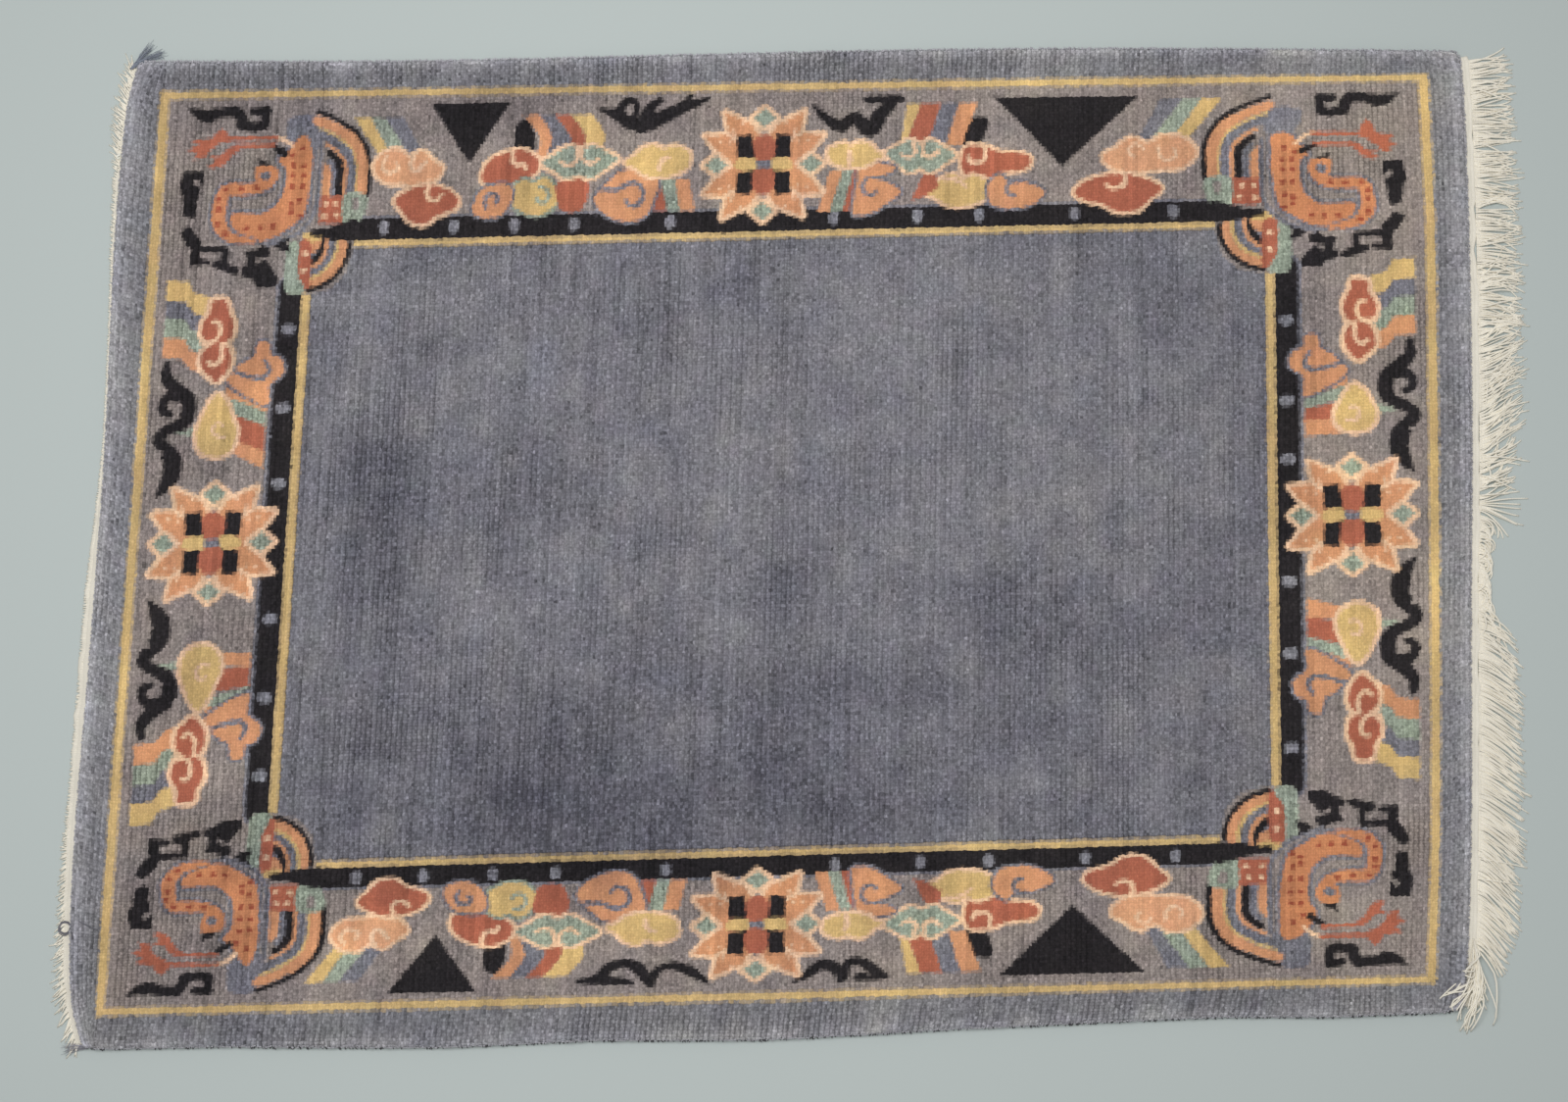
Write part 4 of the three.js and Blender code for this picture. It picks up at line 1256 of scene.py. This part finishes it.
        # Painted shade and light for the material: the grooves' painted shade at the corners, a painted
        # highlight on every tip, and a middle level on the wall.
        low = self.corner_painted_shade[i0:i1 + 1, j0:j1 + 1].ravel()
        depth = np.concatenate([low, np.ones(len(tip)), np.full(len(ring), WALL_SHADE_LEVEL)])
        faces = [np.concatenate(cells), wall, floor[None, ::-1]]
        uv = seen_from_above(points, faces, ring)
        return mesh_object(name, points, faces, material, uv, colours=colours, depth=depth)


def in_root(piece, slot_name):
    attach(piece, "root")
    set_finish(piece, slot_name)


def yarn_table(scene):
    yarns = scene.rug_yarns
    return {name: np.array(getattr(yarns, name)) for name in RugYarns.__annotations__}


# Cells of the knotted back along and across, and its tone beside that of the pile.
BACK_CELLS = (176, 159)
BACK_TONE = 0.9


class RUG_OT_foundation(bpy.types.Operator):
    """Knotted back that carries the pile: a thin closed sheet, its underside showing the same design"""
    bl_idname = "rug.foundation"
    bl_label = "Foundation"

    def execute(self, context):
        settings = context.scene.rug_pile
        plan = RugPlan()
        chart = rug_chart(yarn_table(context.scene))
        u = np.linspace(-CHART_MARGIN, CHART_LENGTH + CHART_MARGIN, BACK_CELLS[0] + 1)
        v = np.linspace(-CHART_MARGIN, CHART_WIDTH + CHART_MARGIN, BACK_CELLS[1] + 1)
        u, v = np.meshgrid(u, v, indexing="ij")
        flat = plan.place(u, v).reshape(-1, 2)
        at = np.arange(u.size).reshape(u.shape)
        under = np.stack([at[:-1, :-1], at[:-1, 1:], at[1:, 1:], at[1:, :-1]], -1).reshape(-1, 4)
        ring = rim_of(at)
        over = u.size + np.arange(len(ring))
        wall = np.stack([ring, np.roll(ring, -1), np.roll(over, -1), over], -1)
        points = np.concatenate([np.column_stack([flat, np.zeros(len(flat))]),
                                 np.column_stack([flat[ring], np.full(len(ring), settings.foundation / MM)])])
        colours = chart.at(u, v).reshape(-1, 3) * BACK_TONE
        colours = np.concatenate([colours, colours[ring]])
        faces = [under, wall, over[None]]
        uv = seen_from_above(points, faces, ring)
        sheet = mesh_object("foundation", points, faces, knotted_back_material(), uv, colours=colours)
        in_root(sheet, "wool_pile")
        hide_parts("pile_body")
        return {"FINISHED"}


# Edge tufts: spacing along the rim in mm, and the shares of the pile's height at which they grow.
RIM_PITCH = 0.95
RIM_LEVELS = (0.2, 0.8)
# How far they stand out, in mm, from the far rim and from the others.
FAR_REACH = (1.0, 2.9)
OTHER_REACH = (0.5, 1.6)
# Tufts under the near rim: the level below which they lie in shade, how much further they reach, and the
# painted shade that darkens them.
SHADED_LEVEL = 0.34
SHADED_REACH = 1.3
SHADED_TONE = 0.16
# Each tuft from root to tip: share of its reach, drop in shares of its reach, width in mm, and the painted
# highlight that grows towards its tip.
TUFT_POINTS = ((0, 0), (0.55, 0.05), (1, 0.3))
TUFT_WIDTHS = (2.4, 1.9, 0.5)
TUFT_HIGHLIGHTS = (0.9, 1.05, 1.25)


def spread_out(rng, count, stray):
    """Shares of a side for yarns that are set along it evenly, give or take a share of their spacing."""
    return (np.arange(count) + rng.uniform(-stray, stray, count)) / count


class RUG_OT_edge_tufts(bpy.types.Operator):
    """Wool tufts that lean out over the rim on all four sides"""
    bl_idname = "rug.edge_tufts"
    bl_label = "Edge tufts"

    def execute(self, context):
        rng = np.random.default_rng(SEEDS["edge_tufts"])
        plan = RugPlan()
        margin = np.array(context.scene.rug_yarns.margin)
        paths, widths, colours = [], [], []
        for name in plan.sides:
            count = round(plan.length(name) / RIM_PITCH)
            base, out = plan.rim_at(name, np.clip(spread_out(rng, count, 0.6), 0, 1))
            along = np.column_stack([-out[:, 1], out[:, 0]])
            level = rng.uniform(*RIM_LEVELS, count)
            height = plan.height * level
            inset = 0.6 + 5.5 * np.clip((level - 0.55) / 0.4, 0, 1) ** 2
            under = (level < SHADED_LEVEL) & (name == "near")
            reach = rng.uniform(*(FAR_REACH if name == "far" else OTHER_REACH), count) + SHADED_REACH * under
            swing = rng.normal(0, 0.35, count)
            rows = []
            for t, drop in TUFT_POINTS:
                leaning = (out + along * (swing * t)[:, None]) * (reach * t)[:, None]
                place = base - out * inset[:, None] + leaning
                rows.append(np.column_stack([place, height - reach * drop + 0.5 * t]))
            paths.append(np.stack(rows, 1))
            widths.append(rng.uniform(0.75, 1.25, count)[:, None] * TUFT_WIDTHS)
            # The tufts are painted much paler than the margin's wool, a painted highlight where the fibre
            # ends catch the light; those under the near rim get painted shade.
            tone = rng.normal(2.6, 0.3, count)[:, None] * TUFT_HIGHLIGHTS
            tone = tone * np.where(under, SHADED_TONE, 1)[:, None]
            colours.append(np.clip(margin * tone[..., None], 0, 0.9))
        tufts = round_yarns("edge_tufts", np.concatenate(paths), np.concatenate(widths), 3,
                            wool_yarn_material(), np.concatenate(colours))
        in_root(tufts, "wool_pile")
        return {"FINISHED"}


# Section of a woven strip: shares of its width out from the pile, and shares of its height.
STRIP_SECTION = np.array(((-0.12, 0.1), (-0.12, 0.8), (0.0, 1.0), (0.3, 1.0), (0.5, 0.93), (0.58, 0.7),
                          (0.66, 0.85), (0.8, 0.88), (0.93, 0.66), (1.0, 0.25), (1.0, 0.05)))
# Where a strip starts and ends along its side, its sections, and the places where its width changes a little.
STRIP_SPAN = (0.004, 0.996)
STRIP_SECTIONS = 420
STRIP_WAVES = 90
STRIP_WAVE = 0.09


def woven_strip(name, plan, side, widths, settings, material):
    """A woven strip along one end: rounded over, with a groove beside its outer cord."""
    share = np.linspace(*STRIP_SPAN, STRIP_SECTIONS)
    base, out = plan.rim_at(side, share)
    width = np.interp(share, *np.array(widths).T)
    outward, upward = STRIP_SECTION.T
    rng = np.random.default_rng(SEEDS["strip"])
    wave = 1 + STRIP_WAVE * np.interp(share, np.linspace(0, 1, STRIP_WAVES), rng.normal(size=STRIP_WAVES))
    places = base[:, None] + out[:, None] * (outward * (width * wave)[:, None])[..., None]
    heights = np.broadcast_to(upward * settings.strip_height / MM, places.shape[:2])
    points = np.concatenate([places, heights[..., None]], -1)
    at = np.arange(heights.size).reshape(heights.shape)
    beside = np.roll(at, -1, 1)
    walls = np.stack([at[:-1], at[1:], beside[1:], beside[:-1]], -1).reshape(-1, 4)
    ends = np.stack([at[0], at[-1, ::-1]])
    if side == "right":
        walls, ends = walls[:, ::-1], ends[:, ::-1]
    flat = np.stack([np.broadcast_to((share * plan.length(side))[:, None], at.shape),
                     outward * width[:, None]], -1).reshape(-1, 2)
    faces = [walls, ends]
    return mesh_object(name, points.reshape(-1, 3), faces, material, flat[face_corners(faces)], "weave")


# Height of a yarn's middle where it leaves the strip, in mm, and where it lies, in shares of its width.
YARN_ROOT = 1.4
YARN_REST = 0.62


def laid_yarns(base, out, lean, curl, length, lift, start, rings, width):
    """Paths of yarns that leave the strip straight, bend over to their lean and lie on the floor."""
    t = np.linspace(0, 1, rings)
    along = np.column_stack([-out[:, 1], out[:, 0]])
    ease = np.clip(0.3 + t * 2.0, 0, 1)
    heading = np.radians(lean[:, None] * ease + curl[:, None] * t ** 1.5)
    step = (length / (rings - 1))[:, None]
    forward = np.cumsum(np.cos(heading) * step, 1) - np.cos(heading[:, :1]) * step
    sideways = np.cumsum(np.sin(heading) * step, 1) - np.sin(heading[:, :1]) * step
    place = base[:, None] + out[:, None] * (forward + start)[..., None] + along[:, None] * sideways[..., None]
    rest = width * YARN_REST
    height = rest + (YARN_ROOT - rest) * (1 - t) ** 3
    height = height + lift[:, None] * np.sin(np.pi * np.clip(t * 1.15, 0, 1))
    return np.concatenate([place, height[..., None]], -1)


# Across from the near corner; lean in degrees towards the far side; length in mm; curl in degrees.
FRINGE = np.array((
    (0.000, -50, 34, -10), (0.060, -46, 36, -8), (0.085, -41, 43, -5), (0.110, -39, 49, -4),
    (0.200, -35, 50, -2), (0.340, -27, 48, -6), (0.395, -24, 42, -30), (0.425, -10, 27, -165),
    (0.500, 0, 27, -150), (0.507, -34, 42, -10), (0.513, -24, 44, 0), (0.517, 8, 44, 0),
    (0.520, 44, 42, 0), (0.530, 40, 34, 10), (0.555, 32, 44, 10), (0.575, 34, 48, 8), (0.610, 32, 49, 10),
    (0.680, 14, 46, 6), (0.740, 2, 45, -8), (0.860, -4, 44, 4), (0.990, 6, 42, 10),
))
# Tips of the tangled yarns that fold over the near corner: along, across and height in mm.
CLUMP = np.array(((632, -478, 13.5), (638, -490, 13.5), (650, -456, 14), (650, -504, 6), (653, -514, 1.4),
                  (660, -500, 5), (678, -503, 1.4), (668, -484, 6), (662, -494, 5), (656, -508, 3),
                  (664, -490, 6), (658, -486, 9)))
# Across from the near corner, and how tangled the fringe lies there.
TANGLE = ((0.04, 0.08, 0.33, 0.4, 0.5, 0.518, 0.53, 0.55, 0.58, 0.7, 0.8, 1),
          (1, 0.35, 0.35, 0.8, 1, 0.6, 2.4, 2, 1, 1.3, 1, 1))
# Where the fringe starts, how far it runs, the patch that has lost yarns, and the share of them that it lost.
FRINGE_START = 0.062
FRINGE_SPAN = 0.930
BARE_PATCH = (0.503, 0.53)
BARE_SHARE = 0.6
# Bunches that the yarns are drawn into along the end, wide ones and fine ones, and how strongly.
WIDE_BUNCHES = 46
FINE_BUNCHES = 220
BUNCH_PULL = 0.75
# How the yarns stray: lean over a stretch and singly, curl in degrees, and shares of their length.
LEAN_DRIFT = 7
LEAN_STRAY = 5
CURL_STRAY = 16
LENGTH_STRAY = 0.09
# Share of yarns that go astray, and by how many degrees.
ASTRAY_SHARE = 0.07
ASTRAY_LEAN = 26
# Points along a fringe yarn and along a cut one, and the sides of each.
FRINGE_RINGS = 10
FRINGE_SIDES = 5
STUB_RINGS = 5
STUB_SIDES = 4
# The yarns that fold over the near corner: how many, where they start, and the lowest that they lie, in mm.
FOLDED = 48
FOLDED_SPAN = (0.018, 0.072)
FOLDED_REST = 1.1


class RUG_OT_fringed_end(bpy.types.Operator):
    """Woven strip and cotton fringe at the right end"""
    bl_idname = "rug.fringed_end"
    bl_label = "Fringed end"

    def execute(self, context):
        settings = context.scene.rug_fringe
        cotton = context.scene.rug_yarns.cotton
        plan = RugPlan()
        width = settings.strip_width / MM
        strip = woven_strip("right_strip", plan, "right", ((0, width), (1, width)), settings,
                            plain_weave_material(cotton))
        in_root(strip, "cotton_warp")
        rng = np.random.default_rng(SEEDS["fringe"])
        end_width = plan.length("right")
        count = round(end_width * MM / settings.pitch)
        share = FRINGE_START + FRINGE_SPAN * spread_out(rng, count, 0.45)
        bare = (share > BARE_PATCH[0]) & (share < BARE_PATCH[1]) & (rng.random(count) < BARE_SHARE)
        share = share[~bare]
        count = len(share)
        base, out = plan.rim_at("right", share)
        lean, length, curl = (np.interp(share, FRINGE[:, 0], FRINGE[:, k]) for k in (1, 2, 3))
        tangle = np.interp(share, *TANGLE)
        gathered = 0
        for bunches, pull in ((WIDE_BUNCHES, BUNCH_PULL * (tangle - 0.2)), (FINE_BUNCHES, BUNCH_PULL)):
            middles = np.linspace(0, 1, bunches) + rng.uniform(-0.28, 0.28, bunches) / bunches
            nearest = middles[np.argmin(np.abs(share[:, None] - middles), 1)]
            gathered = gathered + (nearest - share) * end_width * pull
        lean = lean + np.degrees(np.arctan(gathered / length))
        lean += tangle * (LEAN_DRIFT * np.interp(share, np.linspace(0, 1, 60), rng.normal(size=60))
                          + LEAN_STRAY * rng.normal(size=count))
        astray = rng.random(count) < ASTRAY_SHARE * tangle
        lean += astray * rng.normal(0, ASTRAY_LEAN, count)
        curl = curl + CURL_STRAY * tangle * rng.normal(size=count)
        length = length * np.clip(rng.normal(1, LENGTH_STRAY, count), 0.6, 1.2)
        lift = rng.uniform(0, 1.6, count) * tangle + 1.2 * rng.integers(0, 3, count) + 1.6 * astray
        yarn = settings.yarn_width / MM
        paths = laid_yarns(base, out, lean, curl, length, lift, width * 0.9, FRINGE_RINGS, yarn)
        paths = np.concatenate([paths, self.folded(rng, plan)])
        thick = rng.uniform(0.85, 1.15, len(paths))[:, None] * np.linspace(1.05, 0.8, FRINGE_RINGS) * yarn
        fringe = round_yarns("cotton_fringe", paths, thick, FRINGE_SIDES, spun_cotton_material(cotton))
        in_root(fringe, "cotton_warp")
        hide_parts("fringed_end")
        return {"FINISHED"}

    @staticmethod
    def folded(rng, plan):
        """Paths of the tangled yarns that fold over the near corner."""
        paths = []
        for share, pick in zip(rng.uniform(*FOLDED_SPAN, FOLDED), rng.integers(0, len(CLUMP), FOLDED)):
            base, out = plan.rim_at("right", share)
            start = np.array((*(base + out * 6), 3))
            tip = CLUMP[pick] + rng.normal(size=3) * (3.4, 3, 0.3)
            first = start + (tip - start) * 0.35 + rng.normal(size=3) * (2.4, 2, 0) + (5, -1, 0)
            second = start + (tip - start) * 0.75 + rng.normal(size=3) * (3, 2.4, 0) + (1.5, 0, 0)
            first[2], second[2] = rng.uniform(6, 14), max(tip[2], rng.uniform(5, 14))
            paths.append(thinned(smooth([start, first, second, tip], closed=False, parts=8), FRINGE_RINGS))
        paths = np.array(paths)
        paths[..., 2] = np.maximum(paths[..., 2], FOLDED_REST)
        return paths


# The left strip: across from the near corner, and its width in mm.
LEFT_STRIP = ((0.0, 7), (0.12, 8), (0.19, 10), (0.45, 11), (0.5, 8), (0.56, 5), (0.6, 3), (0.78, 2.5),
              (0.792, 4), (0.807, 4), (0.812, 2.5), (0.816, 4), (0.829, 4), (0.834, 2.5), (0.84, 4),
              (0.862, 4), (0.868, 5), (0.88, 5), (0.886, 2.5), (0.91, 3), (0.955, 3), (1.0, 3))
# Across from the near corner; lean in degrees towards the near side; length beyond the strip in mm.
STUBS = np.array(((0.0, 46, 14), (0.12, 40, 11), (0.19, 26, 5), (0.24, 8, 1.5), (0.5, 0, 1.2),
                  (0.72, 0, 1.5), (0.8, -14, 2.5), (0.85, -20, 4), (0.88, -30, 5), (0.9, -36, 12),
                  (0.96, -40, 15), (1.0, -46, 19)))
# Spacing of the cut warps in mm, where they start and how far they run, and the tone of the worn strip.
STUB_PITCH = 1.45
STUB_START = 0.006
STUB_SPAN = 0.988
WORN_TONE = 0.9


class RUG_OT_cut_end(bpy.types.Operator):
    """Worn strip and short cut warps at the left end"""
    bl_idname = "rug.cut_end"
    bl_label = "Cut end"

    def execute(self, context):
        settings = context.scene.rug_fringe
        cotton = context.scene.rug_yarns.cotton
        plan = RugPlan()
        worn = np.array(cotton) * WORN_TONE
        strip = woven_strip("left_strip", plan, "left", LEFT_STRIP, settings, plain_weave_material(worn))
        in_root(strip, "cotton_warp")
        rng = np.random.default_rng(SEEDS["cut_end"])
        count = round(plan.length("left") / STUB_PITCH)
        share = STUB_START + STUB_SPAN * spread_out(rng, count, 0.4)
        base, out = plan.rim_at("left", share)
        lean, beyond = (np.interp(share, STUBS[:, 0], STUBS[:, k]) for k in (1, 2))
        width = np.interp(share, *np.array(LEFT_STRIP).T)
        lean = lean + 9 * rng.normal(size=count)
        start = (width * 0.55)[:, None]
        length = width * 0.45 + beyond * rng.uniform(0.5, 1.4, count)
        curl = 14 * rng.normal(size=count)
        lift = rng.uniform(0.4, 1.4, count)
        yarn = settings.yarn_width / MM
        paths = laid_yarns(base, out, lean, curl, length, lift, start, STUB_RINGS, yarn)
        thick = rng.uniform(0.8, 1.1, count)[:, None] * np.linspace(1.1, 0.6, STUB_RINGS) * yarn
        stubs = round_yarns("cut_warps", paths, thick, STUB_SIDES, spun_cotton_material(cotton))
        in_root(stubs, "cotton_warp")
        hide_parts("cut_end")
        return {"FINISHED"}


# Points along a loose fibre, and the lowest that it lies, in mm.
FIBRE_RINGS = 12
FIBRE_REST = 0.3


def fibre_bundle(rng, path, count, spread, width):
    """Fibres that start together along a path and spread towards their tips."""
    middle = thinned(smooth(path, closed=False, parts=8), FIBRE_RINGS)
    t = np.linspace(0, 1, FIBRE_RINGS)
    drift = rng.normal(size=(count, 1, 3)) * (1, 1, 0.5) * spread
    wobble = rng.normal(size=(count, FIBRE_RINGS, 3)) * 0.06 * spread
    paths = middle + drift * (0.15 + 0.85 * t[:, None] ** 1.3) + wobble
    paths[..., 2] = np.maximum(paths[..., 2], FIBRE_REST)
    return paths, np.broadcast_to(np.linspace(1, 0.5, FIBRE_RINGS) * width, (count, FIBRE_RINGS))


class RUG_OT_loose_ends(bpy.types.Operator):
    """Loose wool at the corners of the cut end, with a yarn loop and a small knot on its strip"""
    bl_idname = "rug.loose_ends"
    bl_label = "Loose ends"

    def execute(self, context):
        rng = np.random.default_rng(SEEDS["loose_ends"])
        yarns = context.scene.rug_yarns
        slate = np.array(yarns.field)
        grey = slate * 1.9
        cool = grey * (0.85, 0.95, 1)
        loop = [(-749 + 6.4 * math.cos(a), -388 + 6 * math.sin(a), 3.6 + 1.4 * math.cos(a))
                for a in np.linspace(0, 2 * np.pi, 11)]
        knot = [(-711 + 3 * math.cos(2.3 * a), 410 + 2.6 * math.sin(3.1 * a), 3 + 1.4 * math.sin(1.7 * a))
                for a in np.linspace(0, 5, 12)]
        # path in mm, number of fibres, how far they spread, their width, and their colour
        bundles = (
            ([(-700, 505, 6), (-694, 512, 5), (-687, 522, 3), (-680, 530, 1)], 26, 3.2, 0.6, cool),
            ([(-700, 505, 6), (-693, 511, 5), (-682, 517, 3), (-669, 522, 1)], 30, 2.6, 0.6, cool),
            ([(-716, -500, 4), (-726, -505, 3), (-738, -506, 2), (-745, -508, 1)], 40, 3.0, 0.5, grey * 1.15),
            (loop, 8, 1.0, 1.7, slate * 1.2),
            ([(-743, -383, 4), (-736, -381, 9), (-727, -384, 13.2), (-713, -391, 13)], 4, 0.8, 1.1,
             slate * 1.3),
            (knot, 3, 0.8, 1.5, np.array(yarns.cotton)),
        )
        paths, widths, colours = [], [], []
        for path, count, spread, width, shade in bundles:
            lines, thick = fibre_bundle(rng, path, count, spread, width)
            tone = rng.normal(1, 0.15, count)[:, None, None]
            paths.append(lines)
            widths.append(thick)
            colours.append(np.broadcast_to(np.clip(shade * tone, 0, 1), lines.shape))
        loose = round_yarns("loose_wool", np.concatenate(paths), np.concatenate(widths), 3,
                            wool_yarn_material(), np.concatenate(colours))
        in_root(loose, "wool_pile")
        return {"FINISHED"}


class RUG_OT_lay(bpy.types.Operator):
    bl_idname = "rug.lay"
    bl_label = "Lay the rug"

    def execute(self, context):
        return {"FINISHED"}


# Depth of the border pieces from the rim, up to and with the inner gold line, in mm.
BORDER_PIECE = CHART_MARGIN + BORDER_DEPTH + 4


class RUG_OT_pile(bpy.types.Operator):
    """Knotted pile in six pieces: the field in two halves and the four borders"""
    bl_idname = "rug.pile"
    bl_label = "Knotted pile"

    def execute(self, context):
        scene = context.scene
        grid = PileGrid(RugPlan(), rug_chart(yarn_table(scene)), scene.rug_pile)
        material = wool_pile_material()
        left = round(BORDER_PIECE / grid.step_u)
        near = round(BORDER_PIECE / grid.step_v)
        right, middle = grid.along - left, grid.along // 2
        far = grid.across - near
        pieces = {
            "pile_left_border": ((0, left), (0, grid.across)),
            "pile_right_border": ((right, grid.along), (0, grid.across)),
            "pile_near_border": ((left, right), (0, near)),
            "pile_far_border": ((left, right), (far, grid.across)),
            "pile_field_left": ((left, middle), (near, far)),
            "pile_field_right": ((middle, right), (near, far)),
        }
        for name, (columns, rows) in pieces.items():
            in_root(grid.piece(name, columns, rows, material), "wool_pile")
        return {"FINISHED"}


# The stage, in metres and degrees.
FLOOR_REACH = 8
LAMP_SIZE = (1.3, 1.1)
LAMP_PLACE = (-0.27, 0.25, 2.4)
LAMP_AIM = (-0.14, 0.18, 0)
CAMERA_PLACE = (-0.0202, -0.2926, 2.1989)
CAMERA_LEAN = 7.10
CAMERA_ROLL = -0.99
SENSOR_MM = 36


class RUG_OT_stage(bpy.types.Operator):
    """Plain floor, soft light and the camera"""
    bl_idname = "rug.stage"
    bl_label = "Stage"

    def execute(self, context):
        scene = context.scene
        settings = scene.rug_stage
        material, tree = new_material("matt painted floor")
        finish_material(tree, {"Base Color": (*settings.floor, 1), "Roughness": 0.8}, {})
        mesh = bpy.data.meshes.new("floor")
        ground = bmesh.new()
        bmesh.ops.create_grid(ground, x_segments=1, y_segments=1, size=FLOOR_REACH)
        ground.to_mesh(mesh)
        ground.free()
        mesh.materials.append(material)
        floor = bpy.data.objects.new("floor", mesh)
        scene.collection.objects.link(floor)
        world = bpy.data.worlds.new("soft room")
        scene.world = world
        world.use_nodes = True
        sky = world.node_tree.nodes["Background"]
        sky.inputs["Color"].default_value = (1, 1, 1, 1)
        sky.inputs["Strength"].default_value = settings.sky
        light = bpy.data.lights.new("soft lamp", "AREA")
        light.energy = settings.lamp
        light.shape = "RECTANGLE"
        light.size, light.size_y = LAMP_SIZE
        lamp = bpy.data.objects.new("soft lamp", light)
        lamp.location = LAMP_PLACE
        aim = Vector(LAMP_AIM) - lamp.location
        lamp.rotation_euler = aim.to_track_quat("-Z", "Y").to_euler()
        scene.collection.objects.link(lamp)
        camera = bpy.data.objects.new("camera", bpy.data.cameras.new("camera"))
        camera.data.sensor_fit = "HORIZONTAL"
        camera.data.sensor_width = SENSOR_MM
        camera.data.lens = settings.lens
        camera.matrix_world = (Matrix.Translation(CAMERA_PLACE)
                               @ Matrix.Rotation(math.radians(CAMERA_LEAN), 4, "X")
                               @ Matrix.Rotation(math.radians(CAMERA_ROLL), 4, "Z"))
        scene.collection.objects.link(camera)
        scene.camera = camera
        scene.view_settings.view_transform = "Standard"
        return {"FINISHED"}


SETTINGS = {"rug_yarns": RugYarns, "rug_pile": RugPile, "rug_fringe": RugFringe, "rug_stage": RugStage}
OPERATORS = (RUG_OT_stage, RUG_OT_foundation, RUG_OT_pile, RUG_OT_edge_tufts, RUG_OT_fringed_end,
             RUG_OT_cut_end, RUG_OT_loose_ends, RUG_OT_lay)


class RUG_PT_panel(bpy.types.Panel):
    """Lists the rug's settings and the operators that build it"""
    bl_idname = "RUG_PT_panel"
    bl_label = "Hand-knotted rug"
    bl_space_type = "VIEW_3D"
    bl_region_type = "UI"
    bl_category = "Rug"

    def draw(self, context):
        for operator in OPERATORS:
            self.layout.operator(operator.bl_idname)
        for name in SETTINGS:
            group = getattr(context.scene, name)
            box = self.layout.box()
            for field in group.__annotations__:
                box.prop(group, field)


CLASSES = (*SETTINGS.values(), *OPERATORS, RUG_PT_panel)


def register():
    for cls in CLASSES:
        bpy.utils.register_class(cls)
    for name, group in SETTINGS.items():
        setattr(bpy.types.Scene, name, PointerProperty(type=group))


def unregister():
    for name in SETTINGS:
        delattr(bpy.types.Scene, name)
    for cls in reversed(CLASSES):
        bpy.utils.unregister_class(cls)


def main():
    register()
    bpy.ops.rug.stage()
    bpy.ops.rug.foundation()
    bpy.ops.rug.pile()
    bpy.ops.rug.edge_tufts()
    bpy.ops.rug.fringed_end()
    bpy.ops.rug.cut_end()
    bpy.ops.rug.loose_ends()
    bpy.ops.rug.lay()


if __name__ == "__main__":
    main()
